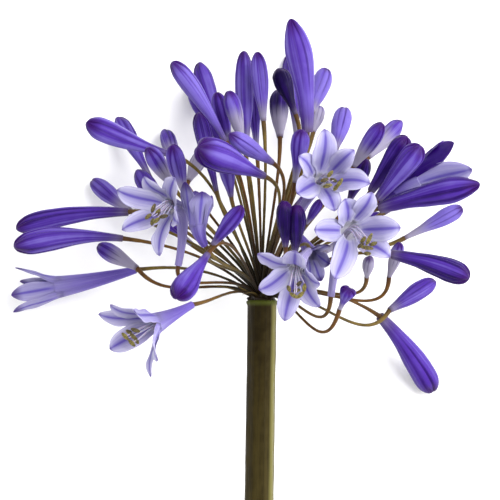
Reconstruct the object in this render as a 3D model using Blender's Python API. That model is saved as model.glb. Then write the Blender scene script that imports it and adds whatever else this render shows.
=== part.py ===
# A cut agapanthus flower stem, laid on a surface: one thick scape that ends in an umbel of pedicels,
# each of which carries a closed bud, an opening flower or an open bloom.
#
# Places are written in millimetres from the hub, the point where the scape ends and the pedicels start:
# +X across the umbel, +Y along its axis away from the scape, +Z up off the surface.

import math

import bmesh
import bpy
from mathutils import Matrix, Vector

MM = 0.001
SMOOTH_ANGLE = 50.0

# The hub's height over the surface, which the lowest flowers and the scape's cut end rest on
HUB_HEIGHT = 46.0

# Scape
SCAPE_LENGTH = 200.0
SCAPE_RADIUS = 5.8
SCAPE_END_RADIUS = 6.1
SCAPE_DRIFT = -3.0
SCAPE_SAG = 2.0
SCAPE_SIDES = 20
SCAPE_STATIONS = (28, 66, 110, 156)
COLLAR_HEIGHT = 2.4
COLLAR_SWELL = 0.5
CUT_SLANT = 0.35
CUT_SINK = 0.5

# Pedicels
PEDICEL_RADIUS = 0.66
PEDICEL_END_RADIUS = 1.0
PEDICEL_SIDES = 5
PEDICEL_STEP = 14.0
PEDICEL_CROWDING = 0.82
PEDICEL_ROOT_PULL = 0.4
PEDICEL_END_PULL = 0.3
PEDICEL_ROOT_BEND = 0.25
ROOT_DEPTH = 3.2
ROOT_RISE = 0.46
YOUNG_BUD_SINK = 0.7
RECEPTACLE_RADIUS = 5.2
RECEPTACLE_HEIGHT = 4.4
RECEPTACLE_RINGS = (0.0, 0.35, 0.7, 0.92)
SEAT_GAP = 0.3

# Closed buds: (share of the length, share of half the width), from the pedicel to the tip
BUD_PROFILES = {
    "bud": ((0, 0.26), (0.12, 0.33), (0.3, 0.5), (0.5, 0.78), (0.66, 0.97), (0.76, 1.0),
            (0.87, 0.92), (0.94, 0.7), (0.982, 0.42), (1, 0.0)),
    "long": ((0, 0.38), (0.12, 0.48), (0.3, 0.62), (0.5, 0.84), (0.68, 0.98), (0.78, 1.0),
             (0.88, 0.92), (0.945, 0.7), (0.982, 0.42), (1, 0.0)),
    "pointed": ((0, 0.4), (0.12, 0.5), (0.3, 0.62), (0.5, 0.86), (0.66, 1.0), (0.76, 0.97),
                (0.86, 0.78), (0.94, 0.5), (0.982, 0.28), (1, 0.0)),
    "loose": ((0, 0.24), (0.15, 0.34), (0.35, 0.62), (0.55, 0.92), (0.7, 1.04), (0.82, 1.0),
              (0.92, 0.84), (0.97, 0.6), (1, 0.0)),
    "spindle": ((0, 0.32), (0.15, 0.48), (0.35, 0.76), (0.55, 0.97), (0.68, 1.0), (0.8, 0.93),
                (0.9, 0.74), (0.96, 0.5), (0.988, 0.28), (1, 0.0)),
    "cup": ((0, 0.26), (0.3, 0.36), (0.55, 0.62), (0.75, 0.9), (0.9, 1.0), (0.97, 0.8), (1, 0.0)),
}
BUD_RINGS = {
    "bud": (0, 0.32, 0.56, 0.77, 0.94),
    "long": (0, 0.3, 0.54, 0.78, 0.94),
    "pointed": (0, 0.3, 0.52, 0.74, 0.92),
    "loose": (0, 0.3, 0.56, 0.8, 0.94),
    "spindle": (0, 0.25, 0.5, 0.75, 0.94),
}
YOUNG_RINGS = {"spindle": (0, 0.3, 0.62, 0.9), "cup": (0, 0.4, 0.72, 0.94)}
TEPALS = 6
SEAM_DEPTH = 0.07
SEAM_START = 0.33
BUD_ROLL = 37.0

# Opening flowers and open blooms: a tube of six tepals that part into lobes at the throat
TEPAL_THICKNESS = 0.7
TUBE_BASE_RADIUS = 1.45
TUBE_ROWS = (0, 0.34, 0.7, 1.0)
TUBE_BEND = 0.45
TUBE_SWELL = 1.4
YOUNG_SWELL = 0.95
YOUNG_FLARE = 40.0
LOBE_ROWS = (0.2, 0.45, 0.7, 0.88)
LOBE_SHAPE = ((0, 0.7), (0.2, 0.88), (0.45, 1.0), (0.7, 0.92), (0.88, 0.64), (1, 0.0))
LOBE_PULL = 0.38
LOBE_ROOM = 0.88
WIDEST_GAP = 0.68
LOBE_CUP = 0.14
THROAT_ANGLE = 38.0

# Stamens and style of an open bloom
STAMENS = 6
FILAMENT_RADIUS = 0.31
FILAMENT_SIDES = 3
FILAMENT_STEPS = 2
FILAMENT_FOOT = 0.8
FILAMENT_ROOT_PULL = 0.62
FILAMENT_END_PULL = 0.25
ANTHER_RADIUS = 0.78
ANTHER_SIDES = 4
ANTHER_BODY = 0.3
ANTHER_TILT = 0.12
PISTIL_RADII = ((0.07, 0.4), (0.35, 0.66), (0.62, 1.1), (0.74, 1.15))
STYLE_REACH = 1.4

# The six anthers of each open bloom, on the side that its stamens droop to: where its middle is,
# its turn from +X in degrees and its length
ANTHERS = {
    "bloom_1": (
        ((-42.8, 36.4, 56.6), 68, 3.8), ((-44.8, 33.2, 56.0), 40, 3.2), ((-41.6, 31.6, 56.4), 35, 3.4),
        ((-38.8, 33.2, 55.6), 12, 3.6), ((-41.0, 34.8, 54.0), 60, 3.2), ((-43.2, 31.0, 54.0), 80, 3.0)),
    "bloom_2": (
        ((-50.0, -11.6, 48.0), -18, 3.8), ((-51.0, -14.0, 47.0), -42, 4.6), ((-51.4, -16.6, 48.0), -46, 3.8),
        ((-54.0, -14.0, 48.0), -46, 3.8), ((-52.4, -12.4, 45.4), -30, 3.2), ((-49.6, -15.6, 45.4), -60, 3.2)),
    "bloom_3": (
        ((26.6, 49.8, 61.5), 50, 3.4), ((24.4, 47.4, 61.0), 20, 3.0), ((25.6, 45.2, 62.0), 14, 3.8),
        ((28.0, 47.4, 60.6), -22, 3.0), ((30.4, 46.4, 62.2), 58, 4.0), ((29.0, 44.6, 60.6), 52, 3.4)),
    "bloom_4": (
        ((41.9, 24.2, 63.4), 64, 5.2), ((41.0, 20.9, 62.4), -8, 5.2), ((38.6, 21.8, 61.6), 36, 3.0),
        ((39.6, 24.0, 60.4), 50, 3.2), ((43.6, 22.4, 60.4), 20, 3.2), ((41.2, 18.6, 60.2), 0, 3.0)),
    "bloom_5": (
        ((10.4, 4.9, 67.4), -66, 2.8), ((12.3, 2.2, 67.8), -32, 3.8), ((15.0, 2.4, 67.8), 42, 3.8),
        ((16.5, 5.2, 67.4), 82, 3.4), ((14.4, 6.8, 66.4), 45, 2.8), ((13.4, 4.2, 65.4), 10, 3.0)),
}

# Closed buds: kind, where the pedicel ends, where the tip is, width, bow of the axis
BUDS = {
    "bud_01": ("long", (-53.6, 35.2, -6), (-98.8, 28.4, -12), 8.4, 2.0),
    "bud_02": ("bud", (-55.6, 24.6, 5), (-99.2, 21.2, 6), 9.8, 2.2),
    "bud_03": ("spindle", (-52.8, 35.6, -21), (-68.8, 48.0, -42.6), 7.2, 0),
    "bud_04": ("bud", (-37.2, 58.4, 8), (-70.0, 70.8, 17), 9.4, -1.0),
    "bud_05": ("bud", (-45.2, 49.6, -20), (-58.4, 73.6, -36), 7.4, 0),
    "bud_06": ("spindle", (-31.2, 43.6, 24), (-35.4, 61.4, 40), 7.6, 0),
    "bud_07": ("spindle", (-36.0, 46.0, 12), (-45.4, 60.4, 26), 7.2, 0),
    "bud_08": ("bud", (-14.6, 63.2, 22), (-35.8, 94.6, 31), 7.6, 1.0),
    "bud_09": ("spindle", (-17.6, 70.0, -12), (-25.4, 95.6, -23), 7.8, 0),
    "bud_10": ("spindle", (-13.2, 63.6, 7), (-18.2, 83.0, 10), 6.6, 0),
    "bud_11": ("spindle", (-8.0, 63.6, 18), (-13.4, 83.2, 25), 6.8, 0),
    "bud_12": ("spindle", (-6.4, 62.0, -4), (-7.2, 99.8, -2), 7.6, 0),
    "bud_13": ("bud", (-2.0, 59.6, -18), (-4.0, 88.0, -24), 6.4, 0),
    "bud_14": ("spindle", (0.6, 71.6, 6), (-2.0, 99.2, 7), 7.0, 0),
    "bud_15": ("loose", (0.8, 49.2, 43), (-25.2, 60.4, 62), 12.2, 0),
    "bud_16": ("spindle", (4.0, 54.6, 35), (-13.0, 65.6, 51), 7.4, 0),
    "bud_17": ("spindle", (-12.4, 41.6, 22), (-15.4, 60.0, 36), 6.8, 0),
    "bud_18": ("bud", (-18.2, 43.6, 9), (-25.4, 75.0, 11), 7.0, 0),
    "bud_19": ("bud", (-21.4, 18.4, 53), (-33.8, 1.2, 67), 10.0, 0),
    "bud_20": ("spindle", (-19.4, 22.2, 49), (-7.8, 37.2, 59), 6.6, 0),
    "bud_21": ("spindle", (-38.4, 35.2, 4), (-50.2, 52.0, -4), 7.4, 0),
    "bud_22": ("pointed", (18.0, 67.0, 20), (11.2, 111.8, 27), 10.8, 1.5),
    "bud_23": ("spindle", (19.8, 75.0, 3), (25.8, 92.8, -4), 7.8, 0),
    "bud_24": ("bud", (13.4, 74.0, 6), (6.4, 92.6, 1), 7.6, 0),
    "bud_25": ("spindle", (7.2, 65.2, -10), (6.8, 84.6, -20), 7.8, 0),
    "bud_26": ("spindle", (29.4, 60.4, -8), (33.4, 77.2, -25), 7.8, 0),
    "bud_27": ("spindle", (36.6, 53.6, 11), (47.8, 70.4, 22), 7.2, 0),
    "bud_28": ("spindle", (42.6, 57.2, -14), (56.2, 72.0, -26), 7.2, 0),
    "bud_29": ("bud", (13.0, 46.8, 36), (15.8, 67.6, 43), 7.4, 0),
    "bud_30": ("long", (43.4, 43.6, 18), (57.4, 65.0, 30), 8.6, 0),
    "bud_31": ("long", (46.0, 40.4, 31), (62.6, 61.2, 43), 9.2, 0),
    "bud_32": ("spindle", (35.2, 40.4, 1), (41.8, 56.4, 7), 7.2, 0),
    "bud_33": ("bud", (57.2, 24.8, -8), (80.6, 37.0, -14), 6.8, 0),
    "bud_34": ("long", (51.6, 18.2, 22), (82.2, 8.8, 31), 9.4, -1.0),
    "bud_35": ("spindle", (51.2, -4.2, -12), (69.8, 7.6, -24), 7.6, 0),
    "bud_36": ("long", (47.6, -6.8, -20), (69.4, -37.4, -43.9), 10.0, -1.4),
    "bud_37": ("bud", (-28.0, 22.0, -36), (-50.0, 40.0, -44.2), 7.8, 0),
    "bud_38": ("bud", (14.0, 38.0, -34), (34.0, 58.0, -44.4), 8.2, 0),
    "bud_39": ("bud", (25.0, 19.0, -35), (49.0, 34.0, -44.3), 7.8, 0),
    "bud_40": ("bud", (49.0, 35.0, -27), (77.0, 54.0, -44.9), 8.6, 0),
    "bud_41": ("bud", (14.0, 66.0, -26), (12.0, 100.0, -45.0), 8.2, 0),
    "bud_42": ("bud", (-13.6, 58.0, -28), (-28.6, 87.0, -44.9), 7.8, 0),
    "bud_43": ("pointed", (46.6, 36.6, 29), (86.0, 46.0, 43), 10.6, -0.6),
}

# Two buds that grow pressed together, which are one body
TWIN_BUDS = {
    "bud_pair": (
        ("spindle", (9.2, 21.6, 51), (8.6, 39.2, 60), 7.0, 0),
        ("spindle", (13.0, 19.6, 48), (13.6, 37.6, 59), 7.6, 0),
    ),
}

# Pale young buds, still one body with their pedicels: kind, where the pedicel ends, tip and width
YOUNG_BUDS = {
    "young_1": ("spindle", (-34.4, 54.0, -24), (-39.4, 68.4, -42.8), 6.6),
    "young_2": ("spindle", (-29.6, 47.6, -14), (-24.0, 59.4, -24), 6.2),
    "young_3": ("spindle", (-50.0, 12.8, -5), (-66.0, 21.8, -13), 7.0),
    "young_4": ("spindle", (20.6, 67.2, -18), (23.4, 78.0, -26), 5.4),
    "young_5": ("cup", (30.6, -3.4, 40), (34.2, 4.6, 46), 6.6),
    "young_6": ("spindle", (41.6, 9.2, 18), (42.6, 17.2, 28), 4.8),
    "young_7": ("spindle", (50.8, 9.2, 2), (55.0, 23.0, 10), 5.4),
    "young_8": ("spindle", (17.6, 30.4, 15), (23.4, 40.0, 21), 4.0),
}

# How far a pedicel sags or swings away from the easy arch between its two ends
PEDICEL_BENDS = {
    "bud_01": (0, 3, 0),
    "bud_35": (0, -11, 0),
    "bud_36": (0, -3, -2),
    "young_3": (0, -9, 0),
    "young_5": (-2, -14, 0),
    "young_6": (1, -7, 0),
    "young_7": (3, -9, 0),
    "opening_1": (0, -2, 0),
    "bloom_2": (0, -4, 0),
    "bloom_4": (0, -8, 0),
    "bloom_5": (-5, 3, 0),
}

# Opening flowers and open blooms: base, throat, throat radius, tepal width, flare at the tips,
# and where the tips of the six tepals are
FLOWERS = {
    "opening_1": ((-50.8, 12.0, -22), (-82.4, 5.0, -31), 4.6, 7.2, 24.0, (
        (-99.6, 13.0, -31), (-101.2, 1.8, -28), (-100.4, -5.2, -32),
        (-98.6, -4.4, -40), (-97.6, 1.0, -44), (-98.0, 7.4, -41))),
    "opening_2": ((-22.6, 21.8, 46), (-25.4, 30.6, 49.4), 3.8, 9.4, 12.0, (
        (-30.4, 46.8, 58), (-23.6, 43.0, 60), (-19.8, 41.4, 54),
        (-21.4, 42.0, 47), (-26.4, 43.4, 45), (-31.4, 44.6, 50))),
    "opening_3": ((46.6, 39.6, 16), (62.0, 49.4, 21), 5.2, 11.4, 16.0, (
        (72.0, 63.8, 23), (76.0, 62.6, 31), (83.2, 52.0, 33),
        (84.0, 47.6, 25), (79.4, 50.6, 15), (73.0, 59.6, 16))),
    "opening_4": ((14.8, 25.6, 24), (19.6, 18.4, 31), 3.2, 6.4, 34.0, (
        (26.4, 22.0, 39), (27.0, 14.6, 34), (23.4, 7.6, 31),
        (18.8, 8.8, 35), (17.4, 13.6, 40), (20.6, 21.0, 43))),
    "bloom_1": ((-33.2, 13.8, 35), (-36.4, 37.0, 45), 3.9, 8.8, 78.0, (
        (-57.2, 43.8, 46), (-46.4, 49.0, 52), (-34.2, 48.4, 58),
        (-32.8, 30.8, 62), (-40.2, 17.6, 56), (-55.2, 27.8, 46))),
    "bloom_2": ((-27.6, -1.6, 33), (-42.4, -9.0, 42), 4.4, 8.8, 70.0, (
        (-59.9, -1.4, 46), (-64.6, -5.2, 38), (-60.2, -19.2, 37),
        (-43.6, -30.0, 53), (-40.8, -23.2, 61), (-50.0, -3.8, 58))),
    "bloom_3": ((14.0, 33.6, 35), (23.4, 47.8, 48), 3.8, 9.6, 86.0, (
        (24.4, 67.6, 57), (36.2, 59.4, 59), (42.4, 46.0, 59),
        (28.4, 35.2, 58), (13.6, 42.0, 58), (14.2, 56.8, 58))),
    "bloom_4": ((27.2, 1.6, 37), (35.0, 27.6, 50), 4.7, 10.0, 86.0, (
        (54.4, 28.8, 58), (43.0, 42.8, 59), (32.4, 40.2, 58),
        (20.4, 28.0, 58), (28.4, 8.6, 58), (50.2, 17.2, 59))),
    "bloom_5": ((18.4, 19.6, 50), (13.2, 12.4, 62), 3.9, 9.4, 78.0, (
        (-1.8, 18.8, 70), (-1.4, 4.6, 63), (8.8, -7.8, 59),
        (22.6, -2.2, 64), (22.6, 7.0, 72), (13.0, 19.8, 78))),
}

COLOURS = {
    "scape": (0.16, 0.15, 0.05),
    "pedicels": (0.17, 0.12, 0.04),
    "bud": (0.13, 0.06, 0.44),
    "opening": (0.20, 0.13, 0.58),
    "bloom": (0.46, 0.42, 0.82),
    "stamens": (0.42, 0.36, 0.06),
}


def clear_scene():
    for old in list(bpy.data.objects):
        bpy.data.objects.remove(old)


def make_material(name, colour):
    material = bpy.data.materials.new(name)
    material.use_nodes = True
    shader = material.node_tree.nodes["Principled BSDF"]
    shader.inputs["Base Color"].default_value = (*colour, 1)
    shader.inputs["Roughness"].default_value = 0.55
    shader.inputs["Metallic"].default_value = 0.0
    return material


def make_object(name, points, faces, material):
    """A closed mesh from points in millimetres from the hub; what would sink into the surface lies on it."""
    placed = [Vector((x, y, max(z + HUB_HEIGHT, 0.0))) * MM for x, y, z in points]
    mesh = bpy.data.meshes.new(name)
    mesh.from_pydata(placed, [], faces)
    shape = bmesh.new()
    shape.from_mesh(mesh)
    bmesh.ops.recalc_face_normals(shape, faces=shape.faces)
    bmesh.ops.triangulate(shape, faces=shape.faces)
    shape.to_mesh(mesh)
    shape.free()
    mesh.shade_smooth()
    mesh.set_sharp_from_angle(angle=math.radians(SMOOTH_ANGLE))
    mesh.materials.append(material)
    made = bpy.data.objects.new(name, mesh)
    bpy.context.scene.collection.objects.link(made)
    return made


def join_by_union(body, others):
    """The body and the others as one closed solid."""
    cutters = bpy.data.collections.new("joined")
    for other in others:
        cutters.objects.link(other)
    modifier = body.modifiers.new("union", "BOOLEAN")
    modifier.operation = "UNION"
    modifier.operand_type = "COLLECTION"
    modifier.collection = cutters
    modifier.solver = "EXACT"
    graph = bpy.context.evaluated_depsgraph_get()
    joined = bpy.data.meshes.new_from_object(body.evaluated_get(graph))
    body.modifiers.clear()
    body.data = joined
    for other in others:
        bpy.data.objects.remove(other)
    bpy.data.collections.remove(cutters)
    return body


def value_at(pairs, t):
    """A smooth curve through (t, value) pairs."""
    for k in range(len(pairs) - 1):
        (t0, v0), (t1, v1) = pairs[k], pairs[k + 1]
        if t <= t1:
            before, after = pairs[max(k - 1, 0)], pairs[min(k + 2, len(pairs) - 1)]
            m0 = (v1 - before[1]) / (t1 - before[0]) * (t1 - t0)
            m1 = (after[1] - v0) / (after[0] - t0) * (t1 - t0)
            u = (t - t0) / (t1 - t0)
            return (v0 * (2 * u**3 - 3 * u**2 + 1) + m0 * (u**3 - 2 * u**2 + u)
                    + v1 * (3 * u**2 - 2 * u**3) + m1 * (u**3 - u**2))
    return pairs[-1][1]


def bezier(a, b, c, d, t):
    s = 1 - t
    return a * s**3 + b * (3 * s * s * t) + c * (3 * s * t * t) + d * t**3


def frames_along(points, first_side):
    """(point, side, other side, direction) at each point of a path, turned as little as possible."""
    frames = []
    side = first_side
    for k, point in enumerate(points):
        ahead = points[min(k + 1, len(points) - 1)] - points[max(k - 1, 0)]
        direction = ahead.normalized()
        side = (side - direction * side.dot(direction)).normalized()
        frames.append((point, side, direction.cross(side), direction))
    return frames


def level_side(direction):
    """A side at right angles to a direction, level where it can be."""
    side = direction.cross(Vector((0, 0, 1)))
    if side.length < 0.2:
        side = direction.cross(Vector((0, 1, 0)))
    return side.normalized()


def skin_rings(rings, tip=None):
    """Points and faces of a solid through rings of points, closed at both ends, to a tip if there is one."""
    sides = len(rings[0])
    points = [p for ring in rings for p in ring]
    faces = [[*range(sides)][::-1]]
    for k in range(len(rings) - 1):
        for j in range(sides):
            a, b = k * sides + j, k * sides + (j + 1) % sides
            faces.append([a, b, b + sides, a + sides])
    last = (len(rings) - 1) * sides
    if tip is None:
        faces.append([*range(last, last + sides)])
    else:
        points.append(tip)
        faces += [[last + j, last + (j + 1) % sides, len(points) - 1] for j in range(sides)]
    return points, faces


def bud_axis(base, tip, bow):
    """The bud's axis as a function from 0 at its seat to 1 at its tip."""
    base, tip = Vector(base), Vector(tip)
    along = (tip - base).normalized()
    start = base + along * SEAT_GAP
    bend = level_side(along) * bow

    def place(t):
        return start.lerp(tip, t) + bend * (4 * t * (1 - t))

    return place


def make_bud(name, row, shares, number, material):
    """A closed bud of six tepals: a spindle or club with a shallow seam where the tepals meet."""
    kind, base, tip, width, bow = row
    place = bud_axis(base, tip, bow)
    frames = frames_along([place(t) for t in (*shares, 1)], level_side(Vector(tip) - Vector(base)))
    roll = number * math.radians(BUD_ROLL)
    rings = []
    for t, (point, side, other, _) in zip(shares, frames):
        radius = value_at(BUD_PROFILES[kind], t) * width / 2
        ring = []
        for j in range(2 * TEPALS):
            turn = roll + math.pi * j / TEPALS
            out = radius * (1 - SEAM_DEPTH * (j % 2) * min(1, t / SEAM_START))
            ring.append(point + side * (out * math.cos(turn)) + other * (out * math.sin(turn)))
        rings.append(ring)
    return make_object(name, *skin_rings(rings, place(1)), material)


def pedicel_path(base, arrival, bend):
    """A pedicel from inside the receptacle to where its flower sits: it leaves rising and arches over."""
    end = Vector(base)
    outward = end.normalized()
    level = Vector((outward.x, max(outward.y, 0) + ROOT_RISE, outward.z)).normalized()
    root = level * ROOT_DEPTH
    reach = (end - root).length
    near_root = root + level * (PEDICEL_ROOT_PULL * reach) + Vector(bend) * PEDICEL_ROOT_BEND
    near_end = end - arrival * (PEDICEL_END_PULL * reach) + Vector(bend)
    steps = max(3, round(reach / PEDICEL_STEP)) + (2 if any(bend) else 0)
    return [bezier(root, near_root, near_end, end, (k / steps) ** PEDICEL_CROWDING) for k in range(steps + 1)]


def make_tube(name, path, arrival, radius_at, sides, material):
    """A tube along a path, whose far end stands square to the arrival direction."""
    frames = frames_along(path, level_side(path[1] - path[0]))
    point, side, _, _ = frames[-1]
    side = (side - arrival * side.dot(arrival)).normalized()
    frames[-1] = (point, side, arrival.cross(side), arrival)
    rings = []
    for k, (point, side, other, _) in enumerate(frames):
        radius = radius_at(k / (len(path) - 1))
        turns = [math.tau * j / sides for j in range(sides)]
        rings.append([point + side * (radius * math.cos(a)) + other * (radius * math.sin(a)) for a in turns])
    return make_object(name, *skin_rings(rings), material)


def pedicel_radius(t):
    """Thin in the middle, with a slight swelling under the flower."""
    return PEDICEL_RADIUS + (PEDICEL_END_RADIUS - PEDICEL_RADIUS) * t**3


def make_receptacle(material):
    """The low dome on the scape's end that all the pedicels grow out of."""
    rings = []
    for rise in RECEPTACLE_RINGS:
        radius = RECEPTACLE_RADIUS * math.sqrt(1 - rise * rise)
        turns = [math.tau * j / SCAPE_SIDES for j in range(SCAPE_SIDES)]
        height = SEAT_GAP + rise * RECEPTACLE_HEIGHT
        rings.append([Vector((radius * math.cos(a), height, radius * math.sin(a))) for a in turns])
    return make_object("pedicels", *skin_rings(rings, Vector((0, SEAT_GAP + RECEPTACLE_HEIGHT, 0))), material)


def make_pedicels(material):
    """Every pedicel, with the young buds that are still one body with theirs."""
    body = make_receptacle(material)
    joined = []
    for name, (base, arrival) in pedicel_ends().items():
        path = pedicel_path(base, arrival, PEDICEL_BENDS.get(name, (0, 0, 0)))
        joined.append(make_tube(f"{name}_pedicel", path, arrival, pedicel_radius, PEDICEL_SIDES, material))
    for number, (name, (kind, base, tip, width)) in enumerate(YOUNG_BUDS.items()):
        sunk = Vector(base) - (Vector(tip) - Vector(base)).normalized() * (SEAT_GAP + YOUNG_BUD_SINK)
        joined.append(make_bud(name, (kind, sunk, tip, width, 0), YOUNG_RINGS[kind], number, material))
    return join_by_union(body, joined)


def pedicel_ends():
    """Where the pedicel of each bud and flower ends, and the direction its flower sets off in."""
    rows = {name: row[1:3] + row[4:] for name, row in BUDS.items()}
    for name, pair in TWIN_BUDS.items():
        for number, row in enumerate(pair):
            rows[f"{name}_{number}"] = row[1:3] + row[4:]
    for name, (_, base, tip, _) in YOUNG_BUDS.items():
        rows[name] = (base, tip, 0)
    ends = {}
    for name, (base, tip, bow) in rows.items():
        place = bud_axis(base, tip, bow)
        ends[name] = (base, (place(0.02) - place(0)).normalized())
    for name, (base, throat, _, _, _, tips) in FLOWERS.items():
        axis = flower_axis(base, throat, tips)
        ends[name] = (base, (axis(0.02) - axis(0)).normalized())
    return ends


def facing(throat, tips):
    """The way a flower looks: from its throat to the middle of its tepals' tips."""
    middle = sum((Vector(tip) for tip in tips), Vector()) / len(tips)
    return (middle - Vector(throat)).normalized()


def flower_axis(base, throat, tips):
    """The tube's axis, from 0 at the seat to 1 at the throat, where it turns the way the flower looks."""
    start, end = Vector(base), Vector(throat)
    bend = end - facing(throat, tips) * ((end - start).length * TUBE_BEND)
    start = start + (bend - start).normalized() * SEAT_GAP

    def place(t):
        return start * (1 - t) ** 2 + bend * (2 * t * (1 - t)) + end * t * t

    return place


def tube_radius(t, throat_radius, flare):
    """The tube's radius from its base to its throat; a flower that has only begun to open swells early."""
    swell = TUBE_SWELL if flare > YOUNG_FLARE else YOUNG_SWELL
    return TUBE_BASE_RADIUS + (throat_radius - TUBE_BASE_RADIUS) * t**swell


def thicken(outer, inner, faces):
    """A closed solid from a sheet of triangles and the same sheet moved inwards."""
    count = len(outer)
    used = {}
    for face in faces:
        for a, b in zip(face, face[1:] + face[:1]):
            used[(a, b)] = used.get((a, b), 0) + 1
    made = list(faces) + [[v + count for v in face[::-1]] for face in faces]
    for a, b in used:
        if (b, a) not in used:
            made += [[b, a, a + count], [b, a + count, b + count]]
    return outer + inner, made


def make_flower(name, row, material):
    """A flower's perianth: six tepals joined in a tube up to the throat, and free lobes beyond it."""
    base, throat, throat_radius, width, flare, tips = row
    axis = flower_axis(base, throat, tips)
    look = facing(throat, tips)
    middle = Vector(throat)
    frames = frames_along([axis(t) for t in TUBE_ROWS], level_side(axis(0.1) - axis(0)))
    _, side, other, _ = frames[-1]

    # Each tepal's turn about the axis, in order, and the seams half way between neighbours
    lobes = []
    for tip in map(Vector, tips):
        out = tip - middle
        out -= look * out.dot(look)
        lobes.append((math.atan2(out.dot(other), out.dot(side)) % math.tau, tip, out.normalized()))
    lobes.sort(key=lambda lobe: lobe[0])
    turns = [lobe[0] for lobe in lobes]
    seams = [(a + (b - a) % math.tau / 2) % math.tau for a, b in zip(turns, turns[1:] + turns[:1])]

    outer, inner, faces = [], [], []

    def add(point, inward):
        outer.append(point)
        inner.append(point + inward)
        return len(outer) - 1

    # The tube's rings: tepal middle, seam, tepal middle, seam, and so on
    rings = []
    for t, (point, s, o, direction) in zip(TUBE_ROWS, frames):
        radius = tube_radius(t, throat_radius, flare)
        ring = []
        for turn, seam in zip(turns, seams):
            for angle, share in ((turn, 1.0), (seam, 1.0 - SEAM_DEPTH)):
                out = s * math.cos(angle) + o * math.sin(angle)
                lift = direction * (TEPAL_THICKNESS if t == 0 else 0)
                ring.append(add(point + out * (radius * share), lift - out * TEPAL_THICKNESS))
        rings.append(ring)
    foot = add(frames[0][0], frames[0][3] * TEPAL_THICKNESS)
    around = 2 * TEPALS
    for j in range(around):
        faces.append([rings[0][(j + 1) % around], rings[0][j], foot])
        for low, high in zip(rings, rings[1:]):
            a, b, c, d = low[j], low[(j + 1) % around], high[(j + 1) % around], high[j]
            faces += [[a, b, c], [a, c, d]]

    # The free lobes, each from its seams at the throat to its tip
    for k, (turn, tip, out) in enumerate(lobes):
        across = look.cross(out)
        leave = math.radians(THROAT_ANGLE)
        start = middle + out * throat_radius
        reach = (tip - start).length
        set_off = look * math.cos(leave) + out * math.sin(leave)
        arrive = look * math.cos(math.radians(flare)) + out * math.sin(math.radians(flare))
        line = [start, start + set_off * (LOBE_PULL * reach), tip - arrive * (LOBE_PULL * reach), tip]
        gaps = [(seams[k] - turn) % math.tau, (turn - seams[k - 1]) % math.tau]
        row_before = [rings[-1][2 * k - 1], rings[-1][2 * k], rings[-1][2 * k + 1]]
        for s in LOBE_ROWS:
            centre = bezier(*line, s)
            heading = (bezier(*line, s + 0.02) - bezier(*line, s - 0.02)).normalized()
            inside = heading.cross(across)
            if inside.dot(out) > 0 and inside.dot(look) < 0.5:
                inside = -inside
            away = (centre - middle).dot(out) + min(0, inside.dot(out)) * TEPAL_THICKNESS
            row = []
            for sign, gap in ((-1, gaps[1]), (0, 0), (1, gaps[0])):
                room = LOBE_ROOM * away * math.tan(min(gap, WIDEST_GAP))
                half = min(value_at(LOBE_SHAPE, s) * width / 2, room)
                lift = inside * (LOBE_CUP * half if sign else 0)
                row.append(add(centre + across * (sign * half) + lift, inside * TEPAL_THICKNESS))
            for a, b, c, d in ((row_before[0], row_before[1], row[1], row[0]),
                               (row_before[1], row_before[2], row[2], row[1])):
                faces += [[a, b, c], [a, c, d]]
            row_before = row
        end = add(tip, inside * TEPAL_THICKNESS)
        faces += [[row_before[0], row_before[1], end], [row_before[1], row_before[2], end]]
    return make_object(name, *thicken(outer, inner, faces), material)


def make_anther(name, centre, direction, length, material):
    """A pollen sac: a short bar, thickest in the middle, across the end of its filament."""
    side = level_side(direction)
    other = direction.cross(side)
    rings = []
    for along in (-ANTHER_BODY, ANTHER_BODY):
        turns = [math.tau * j / ANTHER_SIDES for j in range(ANTHER_SIDES)]
        point = centre + direction * (along * length)
        rings.append([point + (side * math.cos(a) + other * math.sin(a)) * ANTHER_RADIUS for a in turns])
    points, faces = skin_rings(rings, centre + direction * (length / 2))
    points.append(centre - direction * (length / 2))
    faces[0:1] = [[(j + 1) % ANTHER_SIDES, j, len(points) - 1] for j in range(ANTHER_SIDES)]
    return make_object(name, points, faces, material)


def make_stamens(name, row, anthers, material):
    """The pistil in the tube, its style, and six filaments that droop to one side and end in anthers."""
    base, throat, _, _, _, tips = row
    axis = flower_axis(base, throat, tips)
    look = facing(throat, tips)
    shares = [share for share, _ in PISTIL_RADII]
    frames = frames_along([axis(t) for t in shares], level_side(axis(0.1) - axis(0)))
    rings = []
    for (_, radius), (point, side, other, _) in zip(PISTIL_RADII, frames):
        turns = [math.tau * j / STAMENS for j in range(STAMENS)]
        rings.append([point + (side * math.cos(a) + other * math.sin(a)) * radius for a in turns])
    body = make_object(name, *skin_rings(rings), material)

    _, side, other, direction = frames[-1]
    root = axis(shares[-1]) - direction
    parts = []

    def add_filament(label, foot, end):
        reach = (end - root).length
        line = (foot, foot + direction * (FILAMENT_ROOT_PULL * reach),
                end - look * (FILAMENT_END_PULL * reach), end)
        path = [bezier(*line, j / FILAMENT_STEPS) for j in range(FILAMENT_STEPS + 1)]
        parts.append(make_tube(label, path, look, lambda t: FILAMENT_RADIUS, FILAMENT_SIDES, material))

    middle = sum((Vector(centre) for centre, _, _ in anthers), Vector()) / STAMENS

    def turn_about_middle(anther):
        out = Vector(anther[0]) - middle
        return math.atan2(out.dot(other), out.dot(side)) % math.tau

    for k, (centre, degrees, length) in enumerate(sorted(anthers, key=turn_about_middle)):
        turn = math.tau * (k + 0.5) / STAMENS
        foot = root + (side * math.cos(turn) + other * math.sin(turn)) * FILAMENT_FOOT
        add_filament(f"filament_{k}", foot, Vector(centre))
        lie = math.radians(degrees)
        along = Vector((math.cos(lie), math.sin(lie), ANTHER_TILT)).normalized()
        parts.append(make_anther(f"anther_{k}", Vector(centre), along, length, material))
    add_filament("style", root, middle + look * STYLE_REACH)
    return join_by_union(body, parts)


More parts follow.
